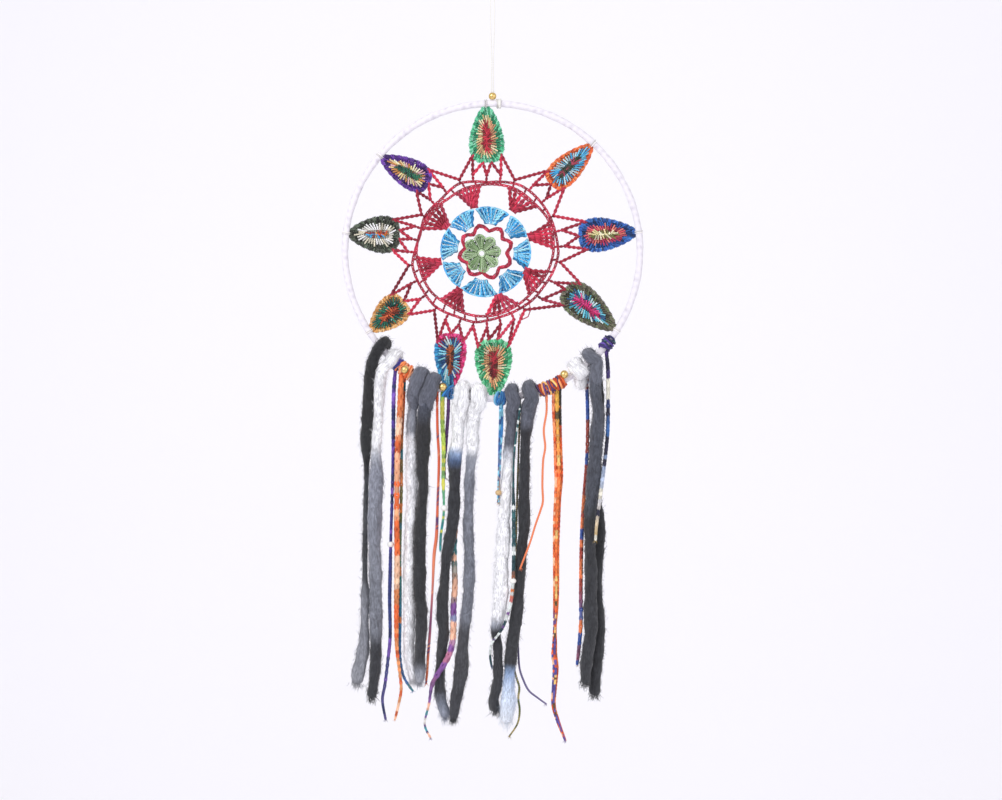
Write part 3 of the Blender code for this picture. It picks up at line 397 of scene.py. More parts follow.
# %% [markdown]
# Crochet is two shapes again and again. A link is a small closed loop of yarn, drawn in at its
# foot, and a row of links is a chain. A twist is a short length of two plies, and twists end to
# end make the long stitches. Both are modelled once, by hand tools, and then copied.

# %% The two stitches
def taken(obj):
    """A modelled shape as plain points and faces; the object itself goes."""
    points = np.array([v.co for v in obj.data.vertices])
    faces = [tuple(p.vertices) for p in obj.data.polygons]
    bpy.data.objects.remove(obj)
    return points, faces


clear_selection()
bpy.ops.mesh.primitive_torus_add(major_segments=12, minor_segments=5, major_radius=0.29,
                                 minor_radius=0.25, rotation=(pi / 2, 0, 0), location=(0, 0, 0.5))
bpy.ops.object.transform_apply(location=True, rotation=True, scale=True)
link = bpy.context.object
for vertex in link.data.vertices:
    vertex.select = vertex.co.z < 0.42
for edge in link.data.edges:
    edge.select = False
bpy.ops.object.mode_set(mode="EDIT")
bpy.ops.mesh.select_mode(type="VERT")
bpy.ops.transform.resize(value=(0.62, 1.0, 1.15), center_override=(0, 0, 0.42))
bpy.ops.object.mode_set(mode="OBJECT")
LINK = taken(link)

clear_selection()
bpy.ops.mesh.primitive_cylinder_add(vertices=6, radius=0.29, depth=1.0, location=(0.23, 0, 0.5))
bpy.ops.object.transform_apply(location=True, rotation=True, scale=True)
twist = bpy.context.object
bpy.ops.object.mode_set(mode="EDIT")
for height in (0.25, 0.5, 0.75):
    bpy.ops.mesh.select_all(action="SELECT")
    bpy.ops.mesh.bisect(plane_co=(0, 0, height), plane_no=(0, 0, 1))
bpy.ops.object.mode_set(mode="OBJECT")
for height in (0.25, 0.5, 0.75, 1.0):
    for item in list(twist.data.edges) + list(twist.data.polygons):
        item.select = False
    for vertex in twist.data.vertices:
        vertex.select = abs(vertex.co.z - height) < 0.01
    bpy.ops.object.mode_set(mode="EDIT")
    bpy.ops.transform.rotate(value=pi * height, orient_axis="Z", center_override=(0, 0, height))
    bpy.ops.object.mode_set(mode="OBJECT")
points, faces = taken(twist)
turned = points * (-1, -1, 1)
TWIST = (np.concatenate([points, turned]), faces + [tuple(i + len(points) for i in f) for f in faces])
FRONT = np.array([0.0, -1.0, 0.0])
print("link faces", len(LINK[1]), "twist faces", len(TWIST[1]))


def pick(palette):
    """One dye from a palette, a little lighter or darker each time."""
    return tones([palette[rng.integers(len(palette))]])[0] * rng.uniform(0.66, 1.28)


def stitch(piece, shape, foot, head, wide, thick, colour, out=FRONT):
    """Copies a stitch so that it runs from foot to head, facing out."""
    points, faces = shape
    way = head - foot
    across = np.cross(way, out)
    across /= np.linalg.norm(across)
    spots = foot + points[:, :1] * across * wide + points[:, 1:2] * out * thick + points[:, 2:] * way
    piece.add(spots, faces, colour, points * (wide * 1000, thick * 1000, np.linalg.norm(way) * 1000))


def bar(piece, foot, head, wide, palette, sag=0.0, shade=1.0):
    """Twists end to end: a long stitch or a strut of doubled yarn."""
    count = max(1, round(float(np.linalg.norm(head - foot)) / (wide * 1.25)))
    # shade darkens the dye; the leaves' back layers use it as painted shade.
    colour = pick(palette) * shade
    for k in range(count):
        a, b = foot + (head - foot) * k / count, foot + (head - foot) * (k + 1.04) / count
        lift = FRONT * sag * sin(pi * (k + 0.5) / count)
        stitch(piece, TWIST, a + lift, b + lift, wide, wide, colour)


def chain(piece, points, wide, palette, closed=False):
    """Links in a row along points; each link starts inside the one before."""
    points = np.asarray(points)
    if closed:
        points = np.concatenate([points, points[:1]])
    walked = np.concatenate([[0], np.cumsum(np.linalg.norm(np.diff(points, axis=0), axis=1))])
    count = max(1, round(walked[-1] / (wide * 1.05)))
    marks = np.linspace(0, walked[-1], count + 1)
    spots = np.stack([np.interp(marks, walked, points[:, k]) for k in range(3)], 1)
    for k in range(count):
        way = spots[k + 1] - spots[k]
        foot = spots[k] - way * 0.22 + FRONT * wide * 0.10
        stitch(piece, LINK, foot, spots[k + 1] + way * 0.25 - FRONT * wide * 0.10, wide, wide * 0.9,
               pick(palette))

# %% [markdown]
# Every free strand keeps to its line in the CAD model, point for point, in millimetres:
# (x, y, z, radius), from the hoop down.

# %% The lines that the yarn follows
WOOL = (
    ("tail_1_black", "tassel_1", (
        (-121.0, 1.5, -400.0, 4.8), (-123.0, 1.5, -414.0, 5.5), (-124.2, 1.5, -436.0, 5.4),
        (-125.0, 1.5, -458.0, 5.6), (-126.2, 1.5, -480.0, 5.8), (-126.0, 3.0, -497.0, 3.0),
        (-126.2, 4.0, -514.0, 2.5), (-127.2, 4.5, -553.0, 2.3), (-127.8, 4.0, -580.0, 2.2),
        (-127.6, 3.0, -611.0, 2.3), (-127.2, 2.0, -631.0, 4.4), (-127.8, 1.0, -654.0, 4.2),
        (-128.4, 1.0, -676.0, 5.4), (-130.6, 1.0, -693.0, 6.0), (-134.0, 1.0, -708.0, 6.4),
        (-135.6, 1.0, -720.0, 5.0),
    )),
    ("tail_2_white_grey", "tassel_1", (
        (-111.0, -2.0, -405.0, 5.2), (-112.6, -2.0, -426.0, 5.5), (-114.4, -2.0, -460.0, 5.2),
        (-116.0, -2.0, -480.0, 4.8), (-116.4, -2.0, -492.0, 5.0), (-116.0, -2.0, -508.0, 6.0),
        (-116.4, -2.0, -528.0, 6.6), (-117.6, -2.0, -553.0, 7.0), (-117.8, -2.0, -578.0, 6.8),
        (-117.0, -2.0, -607.0, 6.4), (-116.5, -2.0, -638.0, 6.0), (-116.5, -2.0, -676.0, 5.6),
        (-116.7, -2.0, -698.0, 5.5), (-118.5, -2.0, -716.0, 5.6), (-121.0, -2.0, -734.0, 5.0),
    )),
    ("tail_3_grey_white", "tassel_2", (
        (-78.6, 3.0, -430.5, 4.4), (-80.0, 3.0, -443.0, 4.8), (-81.0, 3.0, -460.0, 5.2),
        (-81.0, 3.0, -486.0, 5.2), (-80.8, 3.0, -513.0, 5.5), (-80.4, 3.0, -540.0, 5.8),
        (-82.8, 3.0, -567.0, 5.8), (-83.6, 3.0, -607.0, 5.3), (-83.2, 3.0, -648.0, 5.6),
        (-83.6, 3.0, -676.0, 5.7), (-83.2, 3.0, -696.0, 5.4), (-80.6, 3.0, -709.0, 4.8),
        (-79.6, 3.0, -718.0, 3.4),
    )),
    ("tail_4_black", "tassel_2", (
        (-66.6, -3.0, -435.5, 5.8), (-68.4, -3.0, -448.0, 6.3), (-69.0, -3.0, -470.0, 6.6),
        (-69.2, -3.0, -490.0, 6.2), (-70.2, -3.0, -506.0, 5.9), (-69.0, -3.0, -524.0, 5.2),
        (-71.6, -3.0, -553.0, 5.6), (-72.6, -3.0, -580.0, 5.6), (-72.6, -3.0, -607.0, 5.6),
        (-73.0, -3.0, -628.0, 5.8), (-70.8, -3.0, -648.0, 6.2), (-71.8, -3.0, -676.0, 6.0),
        (-72.4, -3.0, -693.0, 5.4), (-72.4, -3.0, -709.0, 4.8), (-73.2, -3.0, -719.0, 3.0),
    )),
    ("tail_5_white_black", "tassel_3", (
        (-33.5, 0.0, -444.0, 6.2), (-34.3, 0.0, -460.0, 6.6), (-35.4, 0.0, -479.0, 6.6),
        (-37.8, 0.0, -494.0, 6.6), (-38.0, 0.0, -521.0, 5.0), (-38.6, 0.0, -539.0, 5.3),
        (-39.6, 0.0, -557.0, 5.8), (-42.8, 0.0, -576.0, 6.0), (-46.4, 0.0, -596.0, 5.4),
        (-48.2, 0.0, -621.0, 5.0), (-50.0, 0.0, -636.0, 5.4), (-50.1, 0.0, -655.0, 5.8),
        (-48.6, 0.0, -668.0, 4.6), (-50.2, 0.0, -683.0, 4.7), (-52.0, 1.0, -701.0, 4.9),
        (-53.0, 2.0, -721.0, 5.4), (-51.0, 4.0, -738.0, 6.0), (-46.0, 6.0, -754.0, 5.0),
    )),
    ("tail_6_white_grey", "tassel_3", (
        (-18.7, 0.0, -445.5, 5.8), (-19.8, 0.0, -460.0, 5.8), (-20.0, 0.0, -486.0, 5.4),
        (-21.4, 0.0, -497.0, 4.8), (-22.9, 0.0, -515.0, 4.9), (-23.7, 0.0, -539.0, 5.2),
        (-24.3, 0.0, -563.0, 5.2), (-23.5, 0.0, -588.0, 4.8), (-23.0, 0.0, -611.0, 5.0),
        (-24.7, 0.0, -636.0, 5.4), (-26.9, 0.0, -654.0, 5.6), (-28.8, 0.0, -673.0, 5.8),
        (-30.7, -1.0, -692.0, 6.5), (-31.0, -2.0, -704.0, 6.8), (-33.5, -3.0, -721.0, 6.0),
        (-37.0, -4.0, -738.0, 5.0), (-39.0, -5.0, -756.0, 3.0),
    )),
    ("tail_7_grey_white", "tassel_4", (
        (19.4, 0.0, -445.0, 6.0), (19.5, 0.0, -456.0, 6.0), (18.0, 0.0, -472.0, 5.5),
        (17.0, 0.0, -485.0, 5.7), (15.5, 0.0, -503.0, 5.0), (13.0, 0.0, -527.0, 5.2),
        (11.5, 0.0, -551.0, 6.0), (10.8, 0.0, -576.0, 7.2), (9.0, 0.0, -596.0, 7.5),
        (8.5, 0.0, -616.0, 7.2), (8.0, 0.0, -636.0, 6.9), (5.0, 0.0, -656.0, 5.8),
        (3.3, 0.0, -668.0, 4.2), (5.2, 0.0, -681.0, 4.4), (5.6, 0.0, -696.0, 4.9),
        (5.2, 0.0, -716.0, 5.2), (3.0, 1.0, -728.0, 5.6), (1.0, 3.0, -738.0, 5.8),
        (3.5, 5.0, -748.0, 4.6),
    )),
    ("tail_8_grey_black", "tassel_4", (
        (35.6, 0.0, -444.0, 6.2), (34.6, 0.0, -456.0, 6.4), (33.2, 0.0, -473.0, 5.2),
        (32.5, 0.0, -491.0, 5.6), (31.7, 0.0, -515.0, 5.5), (31.5, 0.0, -539.0, 5.6),
        (31.5, 0.0, -563.0, 5.0), (29.8, 0.0, -581.0, 5.0), (28.4, 0.0, -603.0, 5.0),
        (26.0, 0.0, -634.0, 5.8), (22.7, 0.0, -660.0, 6.1), (19.6, 0.0, -681.0, 5.6),
        (18.1, 0.0, -698.0, 5.3), (16.8, 0.0, -711.0, 5.2), (16.0, -2.0, -726.0, 6.4),
        (15.6, -4.0, -741.0, 8.0), (12.8, -4.0, -758.0, 6.4),
    )),
    ("tail_9_grey_black", "tassel_5", (
        (102.5, -3.0, -414.0, 5.4), (103.2, -3.0, -430.0, 5.8), (105.8, -3.0, -448.0, 6.2),
        (104.6, -3.0, -464.0, 6.7), (103.4, -3.0, -481.0, 6.7), (102.4, -3.0, -496.0, 6.4),
        (101.0, -3.0, -516.0, 6.6), (99.0, -3.0, -536.0, 6.0), (97.5, -3.0, -551.0, 5.8),
        (97.5, -3.0, -581.0, 6.2), (98.3, -3.0, -611.0, 6.2), (98.0, -3.0, -641.0, 6.2),
        (98.3, -3.0, -666.0, 6.2), (95.5, -3.0, -686.0, 6.2), (93.5, -3.0, -704.0, 6.0),
        (93.0, -3.0, -720.0, 5.4),
    )),
    ("tail_10_black", "tassel_5", (
        (104.5, 12.0, -414.0, 5.4), (106.5, 12.0, -448.0, 5.6), (104.5, 12.0, -496.0, 5.6),
        (103.8, 11.5, -536.0, 5.8), (106.2, 9.5, -561.0, 5.8), (106.6, 9.5, -581.0, 5.8),
        (104.4, 10.0, -611.0, 5.8), (105.5, 9.0, -641.0, 6.0), (106.8, 7.5, -661.0, 6.0),
        (106.0, 7.0, -681.0, 5.8), (103.4, 6.5, -706.0, 5.6), (102.2, 5.0, -732.0, 5.2),
    )),
)

YARN = (
    ("strand_purple_navy", "strands_1", (
        (-97.0, 1.0, -406.0, 1.7), (-98.4, 1.0, -420.0, 1.9), (-99.0, 1.0, -440.0, 1.9),
        (-99.2, 1.0, -464.0, 1.8), (-99.6, 1.0, -500.0, 1.6), (-100.6, 1.0, -540.0, 1.6),
        (-101.6, 1.0, -570.0, 1.5), (-102.0, 1.0, -590.0, 1.6), (-102.4, 1.0, -612.0, 1.8),
        (-102.9, 1.0, -636.0, 1.7), (-102.4, 1.0, -672.0, 1.7), (-104.6, 1.0, -696.0, 1.7),
        (-107.6, 1.0, -721.0, 1.6), (-110.2, 1.0, -736.0, 1.4), (-106.8, 1.0, -756.0, 1.2),
    )),
    ("strand_orange_left", "strands_1", (
        (-91.0, -2.0, -413.5, 2.5), (-91.6, -2.0, -424.0, 2.8), (-92.4, -2.0, -446.0, 2.8),
        (-94.4, -2.4, -477.0, 2.8), (-95.2, -2.6, -506.0, 2.7), (-95.8, -2.8, -556.0, 2.7),
        (-95.2, -2.8, -586.0, 2.8), (-95.8, -2.8, -632.0, 2.4), (-96.0, -2.8, -666.0, 2.2),
        (-95.4, -2.6, -686.0, 1.8), (-93.4, -2.4, -703.0, 1.6), (-91.2, -2.2, -724.0, 1.5),
        (-93.4, -2.0, -738.0, 1.4), (-97.4, -2.0, -755.0, 1.2),
    )),
    ("strand_olive_teal", "strands_1", (
        (-88.2, 2.2, -415.0, 1.5), (-88.6, 2.2, -430.0, 1.5), (-89.4, 2.2, -448.0, 1.5),
        (-91.0, 2.2, -480.0, 1.6), (-91.2, 2.2, -526.0, 1.6), (-92.2, 2.2, -566.0, 1.5),
        (-92.8, 2.2, -596.0, 1.5), (-92.4, 2.2, -621.0, 1.5), (-92.4, 2.2, -656.0, 1.5),
        (-92.8, 2.2, -686.0, 1.5), (-91.6, 2.2, -702.0, 1.5), (-88.0, 2.2, -715.0, 1.4),
        (-79.6, 2.2, -727.5, 1.2),
    )),
    ("strand_coral_dashed", "strands_2", (
        (-55.4, 0.0, -433.5, 1.5), (-55.0, 0.0, -466.0, 1.6), (-53.6, 0.0, -496.0, 1.6),
        (-54.8, 0.0, -536.0, 1.5), (-56.0, 0.0, -571.0, 1.9), (-58.4, 0.0, -591.0, 1.9),
        (-59.8, 0.0, -621.0, 1.4), (-61.2, 0.0, -646.0, 1.4), (-62.8, 0.0, -671.0, 1.6),
        (-64.4, 0.0, -691.0, 1.6), (-65.4, 0.0, -708.0, 1.5), (-66.6, 0.0, -720.0, 1.2),
    )),
    ("strand_green_beaded", "strands_2", (
        (-50.0, -2.6, -434.0, 2.1), (-50.0, -2.8, -456.0, 2.1), (-48.8, -3.0, -486.0, 2.0),
        (-49.2, -3.0, -516.0, 1.8), (-48.6, -3.0, -536.0, 1.2), (-48.6, -3.0, -546.0, 1.2),
        (-49.4, -3.0, -556.0, 1.3), (-51.6, -3.0, -571.0, 1.3), (-52.2, -3.0, -586.0, 1.1),
    )),
    ("strand_purple_middle", "strands_2", (
        (-44.0, 1.6, -435.0, 1.6), (-44.2, 2.0, -446.0, 1.7), (-45.6, 2.0, -466.0, 1.7),
        (-47.0, 2.2, -486.0, 1.6), (-48.2, 2.2, -498.0, 1.4), (-47.8, 2.0, -514.0, 1.2),
    )),
    ("strand_multicolour", "tassel_3", (
        (-29.5, 10.0, -446.0, 2.0), (-31.5, 11.0, -476.0, 2.0), (-34.5, 10.0, -516.0, 2.0),
        (-36.5, 9.5, -556.0, 2.2), (-38.5, 7.0, -590.0, 2.8), (-37.5, 1.0, -621.0, 2.9),
        (-39.0, -1.0, -641.0, 2.9), (-39.0, -2.0, -662.0, 2.9), (-40.0, -4.0, -679.0, 2.9),
        (-44.5, -8.5, -693.0, 2.9), (-52.5, -9.5, -706.0, 2.7), (-59.5, -9.5, -717.0, 2.2),
        (-61.5, -9.0, -726.0, 1.6), (-63.5, -8.0, -740.0, 1.3), (-67.5, -8.0, -756.0, 1.1),
        (-66.5, -8.0, -764.0, 1.1), (-61.5, -8.0, -773.0, 1.1),
    )),
    ("strand_blue_beaded", "tassel_4", (
        (8.6, -1.0, -440.5, 1.8), (8.7, -2.0, -452.0, 2.0), (8.3, -3.0, -468.0, 2.0),
        (7.4, -3.6, -486.0, 1.6), (6.8, -4.2, -506.0, 1.4), (6.1, -4.8, -523.0, 1.2),
        (5.6, -5.0, -539.0, 1.0),
    )),
    ("strand_teal_chain", "tassel_4", (
        (27.0, -6.5, -447.0, 0.9), (24.5, -7.5, -466.0, 0.9), (21.5, -7.5, -491.0, 0.9),
        (20.8, -5.0, -522.0, 1.2), (21.1, -4.4, -541.0, 1.8), (21.3, -4.4, -566.0, 2.0),
        (21.3, -4.8, -586.0, 2.0), (21.0, -6.0, -604.0, 1.8), (20.1, -7.0, -621.0, 1.6),
        (18.3, -8.0, -638.0, 1.6), (14.8, -8.8, -651.0, 1.4), (10.3, -9.2, -663.0, 1.3),
        (4.2, -8.2, -672.0, 1.2), (-0.8, -6.4, -679.0, 1.2), (-2.4, -5.4, -691.0, 1.2),
        (-0.6, -5.4, -703.0, 1.1),
    )),
    ("strand_coral_thin", "tassel_4", (
        (54.0, 0.0, -434.5, 1.3), (54.0, 0.0, -448.0, 1.3), (51.3, 0.0, -466.0, 1.3),
        (52.7, 0.0, -483.0, 1.3), (50.6, 0.0, -497.0, 1.3), (49.9, 0.0, -521.0, 1.3),
        (50.4, 0.0, -537.0, 1.3), (48.1, -1.0, -546.0, 1.3), (43.2, -3.0, -560.0, 1.2),
        (37.2, -6.4, -579.0, 1.2), (31.4, -9.2, -594.0, 1.1), (27.6, -9.8, -604.0, 1.1),
    )),
    ("strand_grey_blue", "tassel_4", (
        (34.0, 9.6, -443.0, 1.2), (32.5, 9.6, -486.0, 1.2), (31.5, 8.8, -536.0, 1.2),
        (29.6, 8.8, -596.0, 1.2), (26.6, 9.6, -646.0, 1.2), (25.6, 9.0, -676.0, 1.2),
        (26.0, 7.0, -691.0, 1.2), (27.0, 4.0, -704.0, 1.2), (30.0, 1.0, -714.0, 1.2),
        (36.0, -2.0, -726.0, 1.2), (45.0, -2.0, -733.5, 1.1), (54.0, -2.0, -740.0, 1.0),
    )),
    ("strand_brown_green", "tassel_4", (
        (27.4, 9.6, -444.0, 1.2), (26.2, 9.8, -486.0, 1.2), (24.6, 10.0, -536.0, 1.2),
        (23.0, 10.2, -596.0, 1.2), (20.0, 11.0, -646.0, 1.2), (18.0, 11.0, -676.0, 1.2),
        (19.6, 10.6, -696.0, 1.3), (23.2, 9.0, -712.0, 1.3), (26.8, 7.0, -724.0, 1.3),
        (25.8, 5.0, -735.0, 1.3), (27.2, 4.0, -747.0, 1.3), (25.0, 3.0, -760.0, 1.1),
        (16.5, 2.0, -773.0, 1.0),
    )),
    ("strand_orange_bundle", "orange_bundle", (
        (64.0, 0.0, -432.0, 4.6), (64.0, 0.0, -446.0, 4.6), (65.0, 0.0, -476.0, 4.2),
        (65.7, 0.0, -501.0, 4.4), (66.0, 0.0, -516.0, 4.2), (65.0, 0.0, -533.0, 3.6),
        (64.0, 0.0, -556.0, 3.6), (63.5, 0.0, -586.0, 3.2), (63.5, 0.0, -623.0, 3.0),
        (63.0, 0.0, -646.0, 2.6), (62.3, 0.0, -663.0, 1.8), (62.0, 0.0, -679.0, 2.4),
        (61.6, 0.0, -691.0, 3.0), (63.0, 0.0, -704.0, 3.0), (61.8, 0.0, -723.0, 2.6),
        (61.0, 0.0, -741.0, 2.2), (65.0, 0.0, -756.0, 2.0), (69.0, 0.0, -767.0, 1.6),
        (73.0, 0.0, -777.0, 1.2),
    )),
    ("strand_violet_chain", "tassel_5", (
        (114.0, 0.0, -390.5, 1.8), (115.5, 0.0, -406.0, 2.0), (115.6, 0.0, -436.0, 2.0),
        (115.2, -1.0, -466.0, 1.9), (113.4, -4.0, -486.0, 1.8), (110.8, -7.5, -506.0, 1.8),
        (108.2, -10.0, -526.0, 1.7), (105.6, -11.0, -546.0, 1.6), (103.6, -11.4, -561.0, 1.5),
        (102.6, -11.4, -576.0, 1.3),
    )),
    ("strand_red_blue", "tassel_5", (
        (94.5, 8.0, -418.0, 1.8), (95.5, 8.0, -456.0, 1.8), (94.5, 7.5, -496.0, 1.8),
        (91.5, 7.0, -536.0, 1.8), (89.3, 5.5, -576.0, 1.8), (88.6, 3.5, -611.0, 1.9),
        (88.4, 1.5, -636.0, 2.0), (88.6, 1.5, -656.0, 2.0), (86.8, 1.0, -681.0, 1.9),
        (84.6, 1.0, -701.0, 1.4),
    )),
)

# %% [markdown]
# Ten wool tails hang in five pairs. Each was dyed in bands that run into each other, so its colour
# is a list of heights and dyes. The tail swings as one stiff piece in the CAD model, and its
# looks keep to the same line, a little uneven in thickness, with fibres standing off it.

# %% Wool tails
BLACK, MIST, SNOW, INK = "#2B2B2E", "#858894", "#ECECEE", "#37383D"
TAIL_DYES = {
    "tail_1_black": ((-395, "#242426"), (-505, "#2A2B2D"), (-520, "#4A4C50"), (-612, "#4E5054"),
                     (-628, "#74767D"), (-652, "#888A92"), (-672, "#7C7E86"), (-720, "#8E9097")),
    "tail_2_white_grey": ((-400, "#E4E4E7"), (-480, SNOW), (-492, "#9FA2AB"), (-505, MIST),
                          (-590, "#7B7E88"), (-668, "#73767F"), (-682, INK), (-734, "#35363A")),
    "tail_3_grey_white": ((-428, "#A9ABB4"), (-440, "#8A8D98"), (-468, "#8F929B"), (-476, "#E2E2E6"),
                          (-640, SNOW), (-720, "#DADADE")),
    "tail_4_black": ((-435, "#4A4E5C"), (-452, "#42454F"), (-462, BLACK), (-640, "#2F3033"),
                     (-698, "#3A3B3F"), (-708, "#8B8E98"), (-720, "#A9ABB3")),
    "tail_5_white_black": ((-440, "#E6E6E8"), (-482, SNOW), (-489, "#8FA3C4"), (-496, "#4E6285"),
                           (-505, "#323338"), (-640, "#333437"), (-726, "#404146"), (-740, "#7E8492"),
                           (-754, "#9A9FAD")),
    "tail_6_white_grey": ((-440, "#E8E8EA"), (-484, SNOW), (-494, "#9A9DA8"), (-520, "#777A85"),
                          (-655, "#70737D"), (-668, "#46474C"), (-756, "#3D3E43")),
    "tail_7_grey_white": ((-440, "#565965"), (-480, "#60636F"), (-492, "#C9CBD3"), (-500, SNOW),
                          (-652, "#E9E9EC"), (-660, "#9DA1AC"), (-668, "#34353A"), (-748, "#3B3C40")),
    "tail_8_grey_black": ((-440, "#595C68"), (-458, "#5F626E"), (-468, "#333439"), (-580, "#2E2F32"),
                          (-700, "#37383C"), (-708, "#8FA6C8"), (-722, "#BCCBE2"), (-758, "#E4E9F1")),
    "tail_9_grey_black": ((-410, "#565963"), (-440, "#4C4F59"), (-540, "#474A53"), (-556, "#303135"),
                          (-720, "#37383C")),
    "tail_10_black": ((-410, "#28282B"), (-560, "#2B2C2F"), (-732, "#35363A")),
}


def in_metres(route):
    return [[value * MM for value in point] for point in route]


def slot_of(node):
    return next(s["material_slot"] for s in frame["record"]["subparts"] if s["node"] == node)


def underside(x):
    """The lowest point of the bare hoop's centre line at x (m)."""
    return HOOP.z - sqrt(HOOP_R**2 - x**2)


def chain_stitches(piece, route, stops, mix=(), share=0.0):
    """A crocheted chain along a route: links that overlap and face a little left, then right."""
    line, long = smooth_route(route, 0.0008)
    s = np.linspace(0, long, len(line))
    shades = dye_at(line[:, 2], stops)
    spin, at_s, n, fleck = rng.uniform(-0.5, 0.5), 0.0, 0, 0
    while at_s < long - 0.0012:
        r = float(np.interp(at_s, s, line[:, 3]))
        ends = [np.array([np.interp(v, s, line[:, k]) for k in range(3)])
                for v in (at_s - 0.8 * r, at_s + 2.5 * r)]
        if at_s < r:
            ends[0][2] += 0.7 * r
        colour = np.array([np.interp(at_s, s, shades[:, k]) for k in range(3)])
        if fleck == 0 and len(mix) and rng.random() < share:
            fleck = int(rng.integers(1, 4))
            shade = tones([mix[rng.integers(len(mix))]])[0]
        if fleck:
            colour, fleck = shade, fleck - 1
        face = spin + at_s * 9 + (0.75 if n % 2 else -0.75)
        out = FRONT * cos(face) + np.array([1.0, 0.0, 0.0]) * sin(face)
        stitch(piece, LINK, ends[0], ends[1], 3.4 * r, 3.6 * r, colour * rng.uniform(0.7, 1.3), out)
        at_s += 2.1 * r
        n += 1
    return line, long


lines, runs = {}, {}
for name, body, route in WOOL:
    work, haze = Piece(), Piece()
    route = in_metres(route)
    line, long, shades = roving(work, haze, route, TAIL_DYES[name])
    for _ in range(90):  # the open end frays into a soft tuft
        start = line[-2, :3] + rng.normal(0, line[-2, 3] * 0.45, 3)
        drop = np.array([rng.normal(0, 0.0022), rng.normal(0, 0.0018), -rng.uniform(0.002, 0.0075)])
        bend = start + drop * 0.5 + rng.normal(0, 0.0007, 3)
        tube(haze, [start, bend, start + drop], [0.00028, 0.0002, 0.00005], shades[-1], 3)
    slot = slot_of(name)
    piece = work.finish(name + "_felt", wool, body, slot, [name])
    fibres = haze.finish(name + "_fibres", wool, body, slot)
    lines[piece.name] = line[:, :3]
    runs[name] = long
print("tails", {name: round(long, 3) for name, long in runs.items()})

# %% [markdown]
# The thin strands are crocheted chains and plied threads of variegated cotton. A chain is a row of
# links, a thread is two plies twisted. Flecks of other dyes come in short runs along the length,
# as they come off a variegated ball. A short neck joins each strand to its knot on the hoop.

# %% Cotton strands
STRAND_DYES = {
    "strand_purple_navy": ((-400, "#5A3A96"), (-470, "#4A3590"), (-560, "#3A3785"), (-640, "#2C3A7C"),
                           (-700, "#3A3F78"), (-756, "#50457E")),
    "strand_orange_left": ((-410, "#E9793F"), (-470, "#F08E58"), (-490, "#F2B28C"), (-590, "#EE9560"),
                           (-640, "#E58A4E"), (-756, "#E9A06C")),
    "strand_olive_teal": ((-410, "#D8562F"), (-450, "#A0522D"), (-500, "#6B5A2C"), (-560, "#5E6A35"),
                          (-610, "#2F7A72"), (-660, "#2C6F96"), (-728, "#3A5E9A")),
    "strand_coral_dashed": ((-430, "#E5603A"), (-560, "#E26A45"), (-600, "#EE8A64"), (-660, "#8A4A78"),
                            (-700, "#E0703F"), (-722, "#D9663B")),
    "strand_green_beaded": ((-430, "#7DB04E"), (-480, "#A8BE4C"), (-520, "#59A06A"), (-586, "#2E8790")),
    "strand_purple_middle": ((-430, "#5B3470"), (-500, "#4C2C63"), (-514, "#7A5638")),
    "strand_multicolour": ((-440, "#55507A"), (-590, "#4E8A8C"), (-620, "#C08B72"), (-650, "#7C86A8"),
                           (-690, "#B06A86"), (-726, "#6A4A86"), (-773, "#5A3A7A")),
    "strand_blue_beaded": ((-438, "#3C86C2"), (-480, "#2F77B4"), (-539, "#B08A55")),
    "strand_teal_chain": ((-445, "#215B5E"), (-540, "#2A6266"), (-600, "#26484E"), (-625, "#E07A3C"),
                          (-645, "#6A3F7C"), (-703, "#4A5A74")),
    "strand_coral_thin": ((-432, "#F08A5C"), (-604, "#EE8353")),
    "strand_grey_blue": ((-440, "#5B5478"), (-690, "#565074"), (-740, "#6A5F88")),
    "strand_brown_green": ((-440, "#6A6238"), (-700, "#8A7A4A"), (-740, "#6E7A3E"), (-773, "#9A8450")),
    "strand_orange_bundle": ((-430, "#EE7A3A"), (-530, "#F0813F"), (-636, "#EC7B42"), (-652, "#6A4488"),
                             (-690, "#4A4A92"), (-712, "#E0813F"), (-777, "#6C4A90")),
    "strand_violet_chain": ((-388, "#4A2F7C"), (-430, "#2C2A58"), (-470, "#3A6AA8"), (-520, "#B9C4D8"),
                            (-576, "#C9A860")),
    "strand_red_blue": ((-415, "#8A3A30"), (-570, "#9E3F33"), (-620, "#B04A3A"), (-650, "#4A5E96"),
                        (-701, "#8A4450")),
}
FLECKS = {
    "strand_orange_left": (("#F4C3A2", "#D9622C"), 0.35),
    "strand_coral_dashed": (("#5E356E", "#F2A27C"), 0.22),
    "strand_green_beaded": (("#C9C84E", "#2F8A8C"), 0.3),
    "strand_multicolour": (("#2E8A94", "#EFB79A", "#7A4A8E", "#E7E1DC"), 0.5),
    "strand_blue_beaded": (("#7FC0D8", "#1F4F8E"), 0.35),
    "strand_teal_chain": (("#D8DEDC", "#173C44"), 0.35),
    "strand_violet_chain": (("#1F1F38", "#E6E2D2"), 0.3),
    "strand_red_blue": (("#E07A4A", "#2F4F9A"), 0.35),
    "strand_brown_green": (("#B8A66A", "#4E5A2E"), 0.35),
    "strand_olive_teal": (("#C8793F", "#2F6F7A"), 0.2),
    "strand_purple_navy": (("#7A55B8", "#1F2A60"), 0.3),
}
